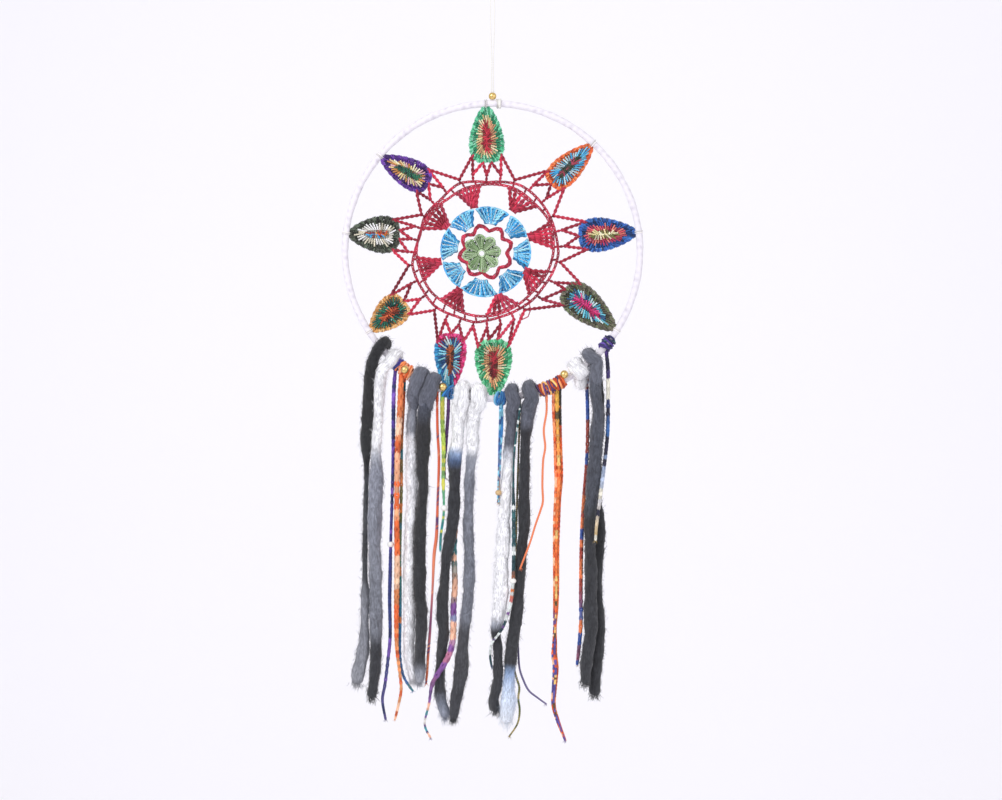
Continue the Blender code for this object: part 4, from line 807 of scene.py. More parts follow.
BUNDLE = (  # aside, ahead, thickness (shares of the bundle's radius), dyes, flecks
    (-0.58, 0.05, 0.40, ((-430, "#F09A6C"), (-520, "#EE7A40"), (-640, "#EC7B42"), (-652, "#6A4488"),
                         (-690, "#4A4A92"), (-777, "#6C4A90")), ("#F7BE96", "#DD5A26")),
    (0.12, -0.35, 0.40, ((-430, "#D9A63C"), (-478, "#EBA24A"), (-500, "#F0813F"), (-640, "#EE7A3A"),
                         (-658, "#5F4E9A"), (-777, "#5A58AC")), ("#F6C878", "#5A4A24", "#E4602A")),
    (0.74, 0.25, 0.34, ((-430, "#2E2A22"), (-464, "#33281E"), (-472, "#E4602A"), (-640, "#EE7A3A"),
                        (-700, "#E0713A"), (-777, "#B94A5A")), ("#F08A4C", "#C9481E")),
)
PLIED = ("strand_coral_thin", "strand_grey_blue", "strand_brown_green", "strand_coral_dashed")

for name, body, route in YARN:
    work = Piece()
    mix, share = FLECKS.get(name, ((), 0.0))
    route = in_metres(route)
    cut = Piece()
    if name == "strand_orange_bundle":  # three chains side by side
        for aside, ahead, stout, dyes, flecks in BUNDLE:
            lane = [[x + aside * r, y + ahead * r, z, stout * r] for x, y, z, r in route]
            chain_stitches(work, lane, dyes, flecks, 0.3)
            top = [lane[0][0], 0.0, underside(lane[0][0]) - 0.003, lane[0][3]]
            chain_stitches(cut, [top, lane[0], lane[1]], dyes)
        line, long = smooth_route(route, 0.001)
    elif name == "strand_blue_beaded":
        for aside in (-0.5, 0.5):
            lane = [[x + aside * r, y, z, 0.62 * r] for x, y, z, r in route]
            chain_stitches(work, lane, STRAND_DYES[name], mix, share)
        line, long = smooth_route(route, 0.001)
    elif name in PLIED:
        line, long = strand(work, route, STRAND_DYES[name], 2, 0.004, mix, share)
    else:
        line, long = chain_stitches(work, route, STRAND_DYES[name], mix, share)
    shades = dye_at(line[:, 2], STRAND_DYES[name])
    if name != "strand_orange_bundle":
        neck = [line[0, 0], line[0, 1] * 0.6, underside(line[0, 0]) - 0.003, line[0, 3]]
        chain_stitches(cut, [neck, line[0], line[4]], STRAND_DYES[name], mix, share)
    for _ in range(10):  # the cut end opens
        start = line[-2, :3] + rng.normal(0, 0.0003, 3)
        drop = np.array([rng.normal(0, 0.0016), rng.normal(0, 0.0012), -rng.uniform(0.001, 0.004)])
        tube(cut, [start, start + drop * 0.5, start + drop], [0.0002, 0.00016, 0.00006], shades[-1], 3)
    slot = slot_of(name)
    piece = work.finish(name + "_yarn", cotton, body, slot, [name])
    fibres = cut.finish(name + "_cut", cotton, body, slot)
    lines[piece.name] = line[:, :3]
    runs[name] = long
print("strands", {name: round(long, 3) for name, long in runs.items() if name.startswith("strand")})

# %% [markdown]
# The thread that carries the hoop is one doubled length of white cotton: a small loop for the
# hook, a knot, and two legs that close up before they pass the gold bead. It hangs under load, so
# it is straight. Each leg is two plies twisted together.

# %% Hanging thread
WHITE_THREAD = ((0, "#EFEDE8"), (-140, "#E6E4DF"))
LEG = ((1.25, 0, -28.6, 0.8), (2.0, 0, -40.6, 0.8), (2.0, 0, -59.6, 0.8),
       (0.95, 0, -90.7, 0.8), (0.95, 0, -113.2, 0.8), (0.95, 0, -135.7, 0.8))
for node, side in (("thread_left", -1), ("thread_right", 1)):
    work = Piece()
    route = in_metres([(side * x, y, z, r) for x, y, z, r in LEG])
    line, long = strand(work, route, WHITE_THREAD, 2, 0.0036)
    piece = work.finish(node + "_plied", cotton, "thread", "thread", [node])

low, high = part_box("hanging_loop")
work = Piece()
turn = np.linspace(-pi, pi, 40)
half_tall = (high.z - low.z) / 2 - 0.0008
loop_line = np.stack([((high.x - low.x) / 2 - 0.0008) * np.sin(turn), 0.0 * turn,
                      (high.z + low.z) / 2 + half_tall * np.cos(turn), 0.0 * turn + 0.0008], 1)
strand(work, loop_line, WHITE_THREAD, 2, 0.0036)
work.finish("hanging_loop_plied", cotton, "loop", "thread", ["hanging_loop"])

low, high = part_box("loop_knot")
centre = np.array((low + high) / 2)
work = Piece()
for k, lean in enumerate((0.35, -0.35, 0.0)):  # three turns of thread drawn tight
    turn = np.linspace(0, 2 * pi, 17)[:-1]
    reach = (0.0013, 0.0013, 0.0010)[k]
    ring = np.stack([reach * np.cos(turn), reach * np.sin(turn),
                     reach * np.sin(turn + k) * lean + (-0.0006, 0.0006, 0.0)[k]], 1)
    tube(work, centre + ring, 0.0008, tones(["#EAE8E3"])[0], 6, (0, 0, 1), closed=True)
work.finish("loop_knot_turns", cotton, "knot", "thread", ["loop_knot"])

# %% [markdown]
# The hoop is a steel ring hidden under soft white cotton wound tightly round it. Every turn of
# the winding leans a little and stands up as a rounded rib. A torus with a few rings for each
# turn is pressed into that shape: a point sinks by where it falls between two turns.

# %% Wound hoop
steel, tree, shader = new_material("zinc plated ring wire", Roughness=0.42, Metallic=1.0)
streak = add_node(tree, "ShaderNodeTexNoise", Scale=900.0, Detail=2.0)
ramp = add_node(tree, "ShaderNodeMix", [("Factor", streak.outputs["Fac"])], data_type="RGBA")
ramp.inputs["A"].default_value, ramp.inputs["B"].default_value = linear("#9FA1A3"), linear("#BFC1C3")
tree.links.new(ramp.outputs["Result"], shader.inputs["Base Color"])
frame["nodes"]["hoop_ring"].data.materials.clear()
frame["nodes"]["hoop_ring"].data.materials.append(steel)

TURN_MM = 2.5  # one turn of the wrapping yarn, along the hoop
turns = round(2 * pi * HOOP_R * 1000 / TURN_MM)
clear_selection()
bpy.ops.mesh.primitive_torus_add(major_segments=turns * 6, minor_segments=14, major_radius=HOOP_R,
                                 minor_radius=TUBE_R)
wrap = bpy.context.object
wrap.name = "hoop_winding"
co = np.zeros(len(wrap.data.vertices) * 3)
wrap.data.vertices.foreach_get("co", co)
co = co.reshape(-1, 3)
round_angle = np.arctan2(co[:, 1], co[:, 0])
flat = np.hypot(co[:, 0], co[:, 1]) - HOOP_R
around = np.arctan2(co[:, 2], flat)
share = (round_angle / (2 * pi) * turns + around / (2 * pi) + 0.35 * np.sin(around)) % 1.0
rib = np.sqrt(np.clip(1 - (2 * share - 1) ** 2, 0, 1))
loose = 0.00018 * np.sin(round_angle * 23) + 0.00012 * np.sin(round_angle * 61)
reach = TUBE_R - 0.0005 * (1 - rib) + loose
grown = np.stack([(HOOP_R + reach * np.cos(around)) * np.cos(round_angle), -reach * np.sin(around),
                  (HOOP_R + reach * np.cos(around)) * np.sin(round_angle)], 1) + np.array(HOOP)
wrap.data.vertices.foreach_set("co", grown.ravel())
# The colour runs from a dark lavender grey in the grooves to a pale one on the ribs: painted shade in the
# creases between the turns of white yarn.
shade = tones(["#C4BECB"]) + (tones(["#EAE6EC"]) - tones(["#C4BECB"])) * rib[:, None] ** 0.7
rgba = np.ones((len(co), 4), np.float32)
rgba[:, :3] = shade
wrap.data.color_attributes.new("colour", "FLOAT_COLOR", "POINT").data.foreach_set("color", rgba.ravel())
laid = np.stack([share * TURN_MM, reach * 0, around * TUBE_R * 1000], 1).astype(np.float32)
wrap.data.attributes.new("lay", "FLOAT_VECTOR", "POINT").data.foreach_set("vector", laid.ravel())
wrap.data.materials.append(wrap_cotton)
bpy.ops.object.mode_set(mode="EDIT")
bpy.ops.mesh.select_all(action="SELECT")
bpy.ops.mesh.normals_make_consistent(inside=False)
bpy.ops.object.mode_set(mode="OBJECT")
bpy.ops.object.shade_smooth()
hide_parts("hoop_wrap")
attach(wrap, "hoop")
print("turns of wrapping yarn", turns)


def at(u, v, y=0.0):
    """A point in the mandala's plane, in millimetres from its middle."""
    return np.array([MIDDLE.x + u * MM, y * MM, MIDDLE.z + v * MM])


def spoke(r, angle, y=0.0):
    return at(r * cos(radians(angle)), r * sin(radians(angle)), y)


# %% [markdown]
# The mandala grows from the middle: a sage flower of eight petals, a crimson zigzag, eight sky
# blue shells, eight crimson fans, and a double chain. The leaves pull the rounds past the flower
# a few millimetres to one side, so the zigzag and the shells have a middle of their own, and
# one shell fills each space between two fans. The flower and the shells have a darker layer
# behind, painted shade for the gaps between their stitches, and the shells have thin pale
# strokes in front, painted highlights.

# %% Flower, zigzag and shells
SAGE = ("#9DBA88", "#B9CFA8", "#86A572", "#A9C396")
# painted shade: the dark sage of the layer behind the flower's petals
SAGE_PAINTED_SHADE = ("#3F5638", "#4E6844")
PALE_SAGE = ("#B4CBA0", "#A3BE90")
CRIMSON = ("#C42A48", "#D0304F", "#A81C38", "#C83A58")
DARK_CRIMSON = ("#B0213E", "#BE2B48", "#941A34")
SKY = ("#4FB8E8", "#7CCFF2", "#2F9AD6", "#A4DFF6")
# painted shade: the dark sky blue of the layer behind the shells
SKY_PAINTED_SHADE = ("#2A7EB8", "#3890C4")
# painted highlight: the pale sky of thin strokes across the shells
SKY_PAINTED_HIGHLIGHT = ("#A8E0F4", "#DFF3FA")
FANS = (  # how far out and at what angle each fan starts, and the angles it spreads between
    (46.8, 99.2, 92, 112), (52.7, 54.0, 41, 67), (50.0, 19.1, 5, 24), (46.4, -21.9, -40, -16),
    (44.8, -68.1, -85, -55), (41.7, -122.2, -131, -108), (41.9, -169.1, -176, -156),
    (43.2, 141.5, 130, 157),
)
OFF_CENTRE = np.array([4.0, 1.7])  # the middle of the rounds past the flower, in millimetres
PETAL_R = 18.8
ZIGZAG_R, ZIGZAG_WAVE = 20.3, 6.5
SHELL_FOOT_R, SHELL_TOP_R = 28.0, 43.8


def round_spoke(r, angle, y=0.0):
    """A point measured from the middle of the rounds past the flower."""
    return at(OFF_CENTRE[0] + r * cos(radians(angle)), OFF_CENTRE[1] + r * sin(radians(angle)), y)


def seen_from_round(r, angle):
    """The angle, about the middle of those rounds, of a point given about the flower's."""
    spot = r * np.array([cos(radians(angle)), sin(radians(angle))]) - OFF_CENTRE
    return float(np.degrees(np.arctan2(spot[1], spot[0]))) % 360


flower = Piece()
for k in range(24):
    # Dark posts behind the petals: painted shade for the gaps between the stitches.
    bar(flower, spoke(4, 15 * k + 7.5, 1.1), spoke(17, 15 * k + 7.5, 1.1), 0.0036, SAGE_PAINTED_SHADE)
for petal in range(8):
    middle = 45 * petal + 8
    for k, reach in ((-1, 16.0), (-0.5, 17.6), (0, 18.2), (0.5, 17.6), (1, 16.0)):
        bar(flower, spoke(4.6, middle + 14 * k, -0.6), spoke(reach, middle + 15 * k, -0.4), 0.0018, SAGE)
    edge = [spoke(PETAL_R - 3.4 * abs(k) ** 2.2, middle + 19 * k, -0.9) for k in np.linspace(-1, 1, 9)]
    chain(flower, edge, 0.0032, SAGE)
chain(flower, [spoke(3.7, 36 * k, -1.5) for k in range(10)], 0.0028, PALE_SAGE, closed=True)
flower.finish("flower_crochet", cotton, "hoop", "green_cotton", ["flower"])

lattice = Piece()
edges = sorted(seen_from_round(r, angle) for r, angle, _, _ in FANS)
for a, b in zip(edges, edges[1:] + [edges[0] + 360]):
    for shift in (-0.7, 0.7):
        wave = []
        for t in np.linspace(0, 1, 11):
            reach = ZIGZAG_R + shift + ZIGZAG_WAVE * abs(cos(pi * t)) ** 1.2
            wave.append(round_spoke(reach, a + (b - a) * t, shift * 0.4))
        chain(lattice, wave, 0.0042, DARK_CRIMSON)
    for turn, reach in ((-5, 27.5), (0, 28.6), (5, 27.5)):
        crest = round_spoke(24.6, a + turn * 0.4, -0.5)
        bar(lattice, crest, round_spoke(reach, a + turn, -0.3), 0.0030, CRIMSON)
    trough = (a + b) / 2
    bar(lattice, round_spoke(19.4, trough, 0.2), round_spoke(22.2, trough, -0.6), 0.0032, CRIMSON)
lattice.finish("zigzag_crochet", cotton, "hoop", "crimson_cotton", ["zigzag_ring"])

shells = Piece()
for a, b in zip(edges, edges[1:] + [edges[0] + 360]):
    middle, half = (a + b) / 2, (b - a) / 2 - 3.2

    def foot_at(t, y):
        return round_spoke(SHELL_FOOT_R + 0.8 * abs(t), middle + half * 0.38 * t, y)

    def head_at(t, y, rise=0.0, drop=1.0, spread=0.98):
        return round_spoke(SHELL_TOP_R + rise - drop * abs(t) ** 3, middle + half * spread * t, y)

    for t in np.linspace(-0.94, 0.94, 7):
        # Wide dark bars behind each shell: painted shade between its stitches.
        bar(shells, foot_at(t, 1.2), head_at(t, 1.0), 0.0052, SKY_PAINTED_SHADE)
    for k, t in enumerate(np.linspace(-1, 1, 8)):
        wide = 0.0032 if k % 2 else 0.0027
        bar(shells, foot_at(t, 0.3), head_at(t, -0.3), wide, SKY, sag=0.0006 * (k % 2))
    for t in np.linspace(-0.8, 0.8, 6):
        # Thin pale strokes in front of the stitches: painted highlights.
        bar(shells, foot_at(t, -0.6), head_at(min(1, t + 0.24), -1.0), 0.0015, SKY_PAINTED_HIGHLIGHT)
    chain(shells, [head_at(t, -0.4, 0.8, 1.2, 1.04) for t in np.linspace(-1, 1, 12)], 0.0032, SKY)
shells.finish("shells_crochet", cotton, "hoop", "blue_cotton", ["blue_shells"])

# %% [markdown]
# The crimson net holds the flower inside the leaves. A fan is six long stitches out of one
# place, with three short ones over their feet. The double chain runs round the fans' ends, and
# its two rows wander: each is a short list of angles with how far out the row runs there, and
# what lies between them is interpolated. Struts zigzag from the outer row to each leaf's foot.

# %% Fans, double chain and struts
FAN_WIDE, ROW_WIDE, STRUT_WIDE = 0.0046, 0.0045, 0.0038
OUTER_ROW = (  # angle, and how far out the row runs there
    (108, 73.8), (85, 71.3), (61, 78.6), (50, 78.8), (33, 77.9), (12, 76.4), (0, 76.7), (-10, 74.7),
    (-29, 69.9), (-43, 68.8), (-56, 66.9), (-72, 66.0), (-85, 67.1), (-95, 69.2), (-112, 67.6),
    (-131, 70.6), (-148, 69.3), (-171, 70.5), (177, 66.5), (163, 63.9), (147, 68.1), (127, 67.5),
)
INNER_ROW = (
    (103, 67.5), (94, 68.1), (63, 73.0), (44, 72.5), (26, 75.0), (13, 73.3), (0, 71.5), (-17, 68.0),
    (-37, 63.4), (-64, 62.5), (-82, 63.1), (-100, 62.5), (-124, 61.2), (-143, 63.6), (-164, 63.6),
    (-178, 65.4), (155, 64.9), (141, 65.6), (122, 63.9),
)
LEAVES = (
    ("leaf_top", (86.6, 21.7), 92.6, 34.0, ("#3BAA78", "#63C496", "#2C9068", "#92DAB8"),
     ("#F3D9A0", "#EFB48A", "#F6E3BC"), ("#B8223C", "#D2384A", "#9C1830")),
    ("leaf_upper_right", (45.0, 28.3), 46.8, 28.0, ("#E5672E", "#C9502A", "#F0884C"),
     ("#3FA9DA", "#7CCBEA", "#CDE9F2"), ("#4A4A34", "#B5465E", "#3A4630")),
    ("leaf_right", (10.3, 29.4), 7.3, 33.0, ("#1F4C96", "#2F66B8", "#153468", "#3C78C4"),
     ("#E2606E", "#C23C64", "#F08A80"), ("#EADFA8", "#7E8048", "#F0E8C8")),
    ("leaf_lower_right", (-22.9, 21.3), -32.6, 33.0, ("#5C5748", "#767060", "#454234", "#6E7A55"),
     ("#7CCFE0", "#4FB4CF", "#D6F0F2", "#2F6394"), ("#D02A78", "#E4488E", "#B01858")),
    ("leaf_bottom_right", (-82.4, 17.4), -89.4, 36.0, ("#3DAE76", "#62C48E", "#2C8F5C", "#9ADBB2"),
     ("#F2CF98", "#EFB07E", "#F7E4BE"), ("#8E1C2C", "#B42C3A", "#661420")),
    ("leaf_bottom_left", (-111.2, 16.4), -107.2, 31.0, ("#D0266E", "#E04A8A", "#A8164E"),
     ("#8ED4E4", "#2F5F9E", "#DDF0F3"), ("#8A3E22", "#B05A30", "#54261A")),
    ("leaf_lower_left", (-148.6, 21.5), -146.8, 31.0, ("#D9A05A", "#C08444", "#EAC088"),
     ("#1F6A5E", "#2F8A6E", "#174A48"), ("#B04A28", "#D0683C", "#8A3018")),
    ("leaf_left", (167.2, 14.9), 173.2, 36.0, ("#3E4236", "#50564A", "#262A22", "#5E6A58"),
     ("#F6F3EA", "#E9E2CC", "#FFFFFA"), ("#C8502A", "#E8A03A", "#3FA9DA", "#8A2E3A")),
    ("leaf_upper_left", (127.1, 18.0), 140.0, 29.5, ("#5B2C8E", "#6F3FA4", "#3E1C68"),
     ("#F2D9A0", "#E9A45C", "#F6EBCB", "#E8B8C0"), ("#1F5A50", "#2F7A5A", "#17403E")),
)
BAND_R = 69.0  # the radius from which the leaves' feet stand off
TIP_REACH = (HOOP_R - TUBE_R) * 1000 + 1.5


def leaf_axes(base, tip_angle):
    """A leaf's foot, its direction, the direction across it, and its length, in the plane."""
    angle, stand_off = base
    foot = (BAND_R + stand_off) * np.array([cos(radians(angle)), sin(radians(angle))])
    tip = TIP_REACH * np.array([cos(radians(tip_angle)), sin(radians(tip_angle))])
    tip += np.array([HOOP.x - MIDDLE.x, HOOP.z - MIDDLE.z]) * 1000
    way = tip - foot
    long = float(np.linalg.norm(way))
    way /= long
    return foot, way, np.array([-way[1], way[0]]), long


def half_width(t, width):
    return width / 2 * np.sin(pi * np.clip(t, 0, 1) ** 0.60) ** 0.6


def row(angle, outer):
    """How far out a row of the double chain runs at an angle: the two wander and touch."""
    marks = OUTER_ROW if outer else INNER_ROW
    return float(np.interp(angle, [a for a, _ in marks], [r for _, r in marks], period=360))


net = Piece()
for start, angle, first, last in FANS:
    for k in range(6):
        end = first + (last - first) * k / 5
        foot = spoke(start, angle + (end - angle) * 0.16, 0.5 * (k % 2))
        bar(net, foot, spoke(row(end, False) - 1, end, -0.3), FAN_WIDE, CRIMSON)
    for t in (-1, 0, 1):
        over = spoke(start + 4.5, angle + 3.6 * t, -0.8)
        bar(net, spoke(start - 1, angle + 3 * t, -0.8), over, 0.0036, CRIMSON)
    hem = [spoke(row(a, False) - 2.5, a, -0.8) for a in np.linspace(first - 1, last + 1, 6)]
    chain(net, hem, 0.0028, DARK_CRIMSON)

for outer in (True, False):
    round_line = [spoke(row(a, outer), a, 0.6 if outer else -0.5) for a in range(0, 360, 4)]
    chain(net, round_line, ROW_WIDE, DARK_CRIMSON, closed=True)
for a in range(4, 360, 10):
    bar(net, spoke(row(a, False), a), spoke(row(a + 2, True), a + 2), 0.0024, DARK_CRIMSON)

ways = []
for leaf in LEAVES:
    foot, way, side, long = leaf_axes(leaf[1], leaf[2])
    ways.append((leaf[1][0] % 360, foot, way, side, long, leaf[3]))
ways.sort(key=lambda w: w[0])
for i, (angle, foot, way, side, long, width) in enumerate(ways):
    before = (ways[i - 1][0] - (360 if i == 0 else 0) + angle) / 2
    after = (ways[(i + 1) % len(ways)][0] + (360 if i == len(ways) - 1 else 0) + angle) / 2
    shares = (-0.95, 0.0, 0.95) if width < 33.5 else (-0.95, -0.35, 0.35, 0.95)
    grips = []
    for share in shares:
        spot = foot + way * ((0.13 if abs(share) > 0.5 else 0.0) * long + 0.8)
        spot = spot + side * share * half_width(0.13 if abs(share) > 0.5 else 0.06, width)
        grips.append(at(spot[0], spot[1], -0.2))
    stems = []
    for k in range(len(grips) + 1):
        mark = before + (after - before) * k / len(grips)
        reach = row(mark, True) + (6.5 if 0 < k < len(grips) else 3.5)
        stems.append(spoke(reach, mark, 0.2))
        bar(net, spoke(row(mark, True) - 1, mark, 0.4), spoke(reach + 0.8, mark, 0.2), 0.0030, DARK_CRIMSON)
    for k, grip in enumerate(grips):
        bar(net, stems[k], grip, STRUT_WIDE, DARK_CRIMSON)
        bar(net, stems[k + 1], grip, STRUT_WIDE, CRIMSON)
        bar(net, grip - (grip - stems[k]) * 0.12, grip + (grip - stems[k]) * 0.04, 0.0034, DARK_CRIMSON)
loose = ((43.0, -50.5), (47.4, -49.3), (48.9, -56.3), (46.4, -63.3), (39.9, -66.3), (38.2, -61.0))
chain(net, [at(u, v, -0.8) for u, v in loose], 0.0018, DARK_CRIMSON)
net.finish("net_crochet", cotton, "hoop", "crimson_cotton", ["crimson_net"])

# %% [markdown]
# A leaf has three rounds. The inner one is worked on both sides of a short vein, the middle one
# has long stitches that reach into the next and end in spikes, and the outer one closes with
# scallops. Every round follows the leaf's outline, drawn in towards the vein.

# %% Nine leaves
BLUE_SIDE = ("#2F8FC4", "#4FB0D8", "#2A6FA0")
THIN_EDGED = ("leaf_upper_right", "leaf_lower_left", "leaf_bottom_left")


def leaf_crochet(name, base, tip_angle, width, outer, middle, inner, slot):
    foot, way, side, long = leaf_axes(base, tip_angle)
    samples = 120
    t = np.concatenate([np.linspace(0.015, 1, samples // 2), np.linspace(1, 0.015, samples // 2)])
    across = np.where(np.arange(samples) < samples // 2, -1, 1) * half_width(t, width)
    outline = foot + way * (t * long)[:, None] + side * across[:, None]
    vein = foot + way * np.clip(t * long, 0.27 * long, 0.60 * long)[:, None]

    def ring(f):
        spots = vein + (outline - vein) * f
        closed = np.concatenate([spots, spots[:1]])
        return closed, np.concatenate([[0], np.cumsum(np.linalg.norm(np.diff(closed, axis=0), axis=1))])

    def along(f, share, y):
        spots, walked = ring(f)
        d = (share % 1.0) * walked[-1]
        return at(np.interp(d, walked, spots[:, 0]), np.interp(d, walked, spots[:, 1]), y)

    work = Piece()

    def dyes_at(share, palette):
        """On one leaf the outer round's ball changes dye for part of the way round."""
        blue = name == "leaf_bottom_left" and palette is outer and 0.1 < share < 0.5
        return BLUE_SIDE if blue else palette

    def round_of(f0, f1, spacing, wide, palette, y, ragged=0.0, lean=0.0, shade=1.0):
        count = round(ring((f0 + f1) / 2)[1][-1] / spacing)
        for k in range(count):
            share = (k + 0.5) / count
            reach = f1 + ragged * rng.uniform(-1, 1)
            colours = dyes_at(share, palette)
            bar(work, along(f0, share, y + 0.3), along(reach, share + lean / count, y), wide, colours,
                shade=shade)

    core = 0.16 if name == "leaf_left" else 0.28
    # Darker copies of the outer and middle rounds lie behind them: painted shade that shows in the gaps
    # between the stitches.
    round_of(0.45, 0.94, 2.2, 0.0034, outer, 1.3, shade=0.55)
    round_of(0.02, 0.50, 2.2, 0.0034, middle, 1.3, shade=0.5)
    spine = [at(*(foot + way * long * t), -0.9) for t in (0.26, 0.37, 0.48, 0.58)]
    chain(work, spine, 0.0032, inner)
    edge_from = 0.64 if name in THIN_EDGED else 0.52
    round_of(edge_from, 0.94, 2.5, 0.0020, outer, 0.0, 0.02, 0.35)
    round_of(0.25, edge_from + 0.10, 2.5, 0.0019, middle, -0.8, 0.12, 0.2)
    round_of(0.00, core, 2.4, 0.0019, inner, -1.3, 0.14 * core / 0.28, 0.3)
    scallops = round(ring(1.0)[1][-1] / 6.5)
    for k in range(scallops * 5):
        part = k % 5 - 2
        share = (k // 5 + 0.5) / scallops
        inner_end = along(0.82, share + part * 0.10 / scallops, -0.4)
        outer_end = along(1.06 - 0.016 * abs(part) ** 1.5, share + part * 0.22 / scallops, -0.7)
        stitch(work, LINK, inner_end, outer_end, 0.0026, 0.0026, pick(dyes_at(share, outer)))
    work.finish(name + "_crochet", cotton, "hoop", slot, [name])


for leaf in LEAVES:
    leaf_crochet(*leaf, slot_of(leaf[0]))
print("leaves", len(LEAVES))

# %% [markdown]
# Everything that is tied to the hoop wraps it. A wool tail is doubled over it in a soft thick
# lobe, which starts behind the hoop, comes over the top and runs down the front into its tail.
# A lobe is left where it is made, attached neither to the hoop nor to its tail.

# %% Knots on the hoop
def hoop_spot(x_mm):
    """A point of the hoop's lower centre line, the way out from the hoop, and the way along."""
    x = x_mm * MM
    spot = np.array([x, 0.0, HOOP.z - sqrt(HOOP_R**2 - x**2)])
    out = (spot - np.array(HOOP)) / HOOP_R
    return spot, out, np.array([-out[2], 0.0, out[0]])


LOBES = {  # hoop x, radius, how wide it spreads, dye, where it runs into its tail (x, y, z)
    "knot_1_white": ((-112.0, 5.0, 1.1, "#26272A", (-120.6, -1.0, -402.0)),
                     (-100.5, 4.8, 1.15, "#ECECEE", (-110.6, -3.0, -407.0))),
    "knot_2_grey": ((-74.5, 5.2, 1.3, "#696C78", (-78.4, 0.5, -432.0)),
                    (-61.5, 5.4, 1.35, "#5F626E", (-66.4, -4.5, -437.0))),
    "knot_3_white": ((-31.0, 6.0, 1.35, "#EEEEF0", (-33.4, -2.0, -446.0)),
                     (-13.8, 5.8, 1.4, "#EDEDEF", (-18.6, -2.0, -447.0))),
    "knot_4_grey": ((20.0, 5.4, 1.2, "#5C5F6B", (19.4, -2.0, -447.0)),
                    (38.0, 5.4, 1.3, "#5A5D68", (35.6, -2.0, -446.0))),
    "knot_5_grey": ((100.5, 5.2, 1.3, "#666974", (102.6, -4.5, -416.0)),
                    (86.5, 5.2, 1.4, "#EFEFF1", (88.5, 4.0, -411.0))),
}
KNOT_SWINGS = {"knot_1_white": "tassel_1", "knot_2_grey": "tassel_2", "knot_3_white": "tassel_3",
               "knot_4_grey": "tassel_4", "knot_5_grey": "tassel_5"}
for knot, lobes in LOBES.items():
    work, haze = Piece(), Piece()
    for x, radius, wide, dye, (end_x, end_y, end_z) in lobes:
        spot, out, run = hoop_spot(x)
        reach = TUBE_R + radius * MM * 0.86
        path = []
        for turn in (-58, -95, -140, -180, -222, -262, -300):
            a = radians(turn)
            sway = run * (0.9 * MM * sin(2 * a))
            path.append([*(spot + out * cos(a) * reach + FRONT * sin(a) * reach + sway), radius * MM])
        path.append([(path[-1][0] * 0.4 + end_x * MM * 0.6), end_y * MM * 0.6 - 0.0035,
                     (path[-1][2] + end_z * MM) / 2, radius * MM])
        path.append([end_x * MM, end_y * MM, end_z * MM, radius * MM * 0.98])
        path.append([end_x * MM, end_y * MM * 0.6, (end_z - 7) * MM, radius * MM * 0.80])
        path.append([end_x * MM, end_y * MM * 0.3, (end_z - 15) * MM, radius * MM * 0.40])
        dyes = ((-350, dye), (-480, dye))
        roving(work, haze, path, dyes, tuple(run), 20, 0.07, wide)
    swing = KNOT_SWINGS[knot]
    pivot = np.mean([hoop_spot(lobe[0])[0] for lobe in lobes], axis=0)
    bend = (swing, pivot - (0, 0, 0.006), pivot - (0, 0, 0.017))
    work.finish(knot + "_lobes", wool, "hoop", slot_of(knot), [knot], bend)
    haze.finish(knot + "_fibres", wool, "hoop", slot_of(knot), (), bend)

# %% [markdown]
# Thin yarn winds round the hoop in tight turns, each a closed ring of yarn that leans at random,
# in two layers. The hitch of the hanging thread has one layer at the top of the hoop, and two
# turns of finer thread tie the tip of each leaf.

# %% Yarn wound on the hoop, and the leaves' ties
WRAPS = {  # from x, to x, dyes
    "wrap_purple_left": (-100.8, -92.8, ("#4A3590", "#5F4AAE", "#2A3A86", "#3E66B0")),
    "wrap_orange_left": (-92.0, -78.5, ("#E0652C", "#C24A22", "#F08A50", "#F4A878")),
    "wrap_blue_middle": (-45.0, -37.5, ("#2F7FC0", "#5AA8DC", "#1F5A96", "#7E5AA0")),
    "wrap_blue_right": (5.5, 12.5, ("#2F77B4", "#6FB6DC", "#1F4F86")),
    "wrap_orange_right": (48.0, 70.0, ("#E5652A", "#C9481E", "#F2A064", "#F6C070", "#5E3A70")),
    "wrap_purple_right": (111.5, 118.0, ("#4A2F8C", "#6A50B0", "#2A2A58", "#3E8A6A")),
    "wrap_hitch": (0, 0, ("#ECEAE5", "#DCDAD4")),
}
for name, (start, end, palette) in WRAPS.items():
    work = Piece()
    top = name == "wrap_hitch"
    spots = np.arange(4.6, 8.4, 1.1) if top else np.arange(start, end, 1.55)
    for x in spots:
        spot, out, run = hoop_spot(float(x))
        if top:
            spot = np.array([spot[0], 0, 2 * HOOP.z - spot[2]])
            out = out * (1, 1, -1)
            run = np.array([-out[2], 0, out[0]])
        yarn_r = 0.00075 if top else 0.00115
        turn = np.linspace(0, 2 * pi, 25)[:-1]
        for layer in range(1 if top else 2):
            lean = rng.uniform(-0.3, 0.3) if top else rng.uniform(-1.0, 1.0)
            reach = TUBE_R + yarn_r * (rng.uniform(0.9, 1.4) + 1.1 * layer)
            reach = reach * (1 + (0.0 if top else 0.10) * np.sin(turn * 2 + rng.uniform(0, 6)))
            ring = (spot + reach[:, None] * (np.cos(turn)[:, None] * out + np.sin(turn)[:, None] * FRONT)
                    + (lean * 0.0036 * np.cos(turn + rng.uniform(0, 6)))[:, None] * run)
            tube(work, ring, yarn_r, pick(palette), 6, tuple(run), closed=True)
    nodes = {"wrap_hitch": ["hoop_tie"], "wrap_orange_right": ["knot_orange"]}.get(name, [])
    work.finish(name, cotton, "hoop", "thread" if top else "orange_cotton", nodes)

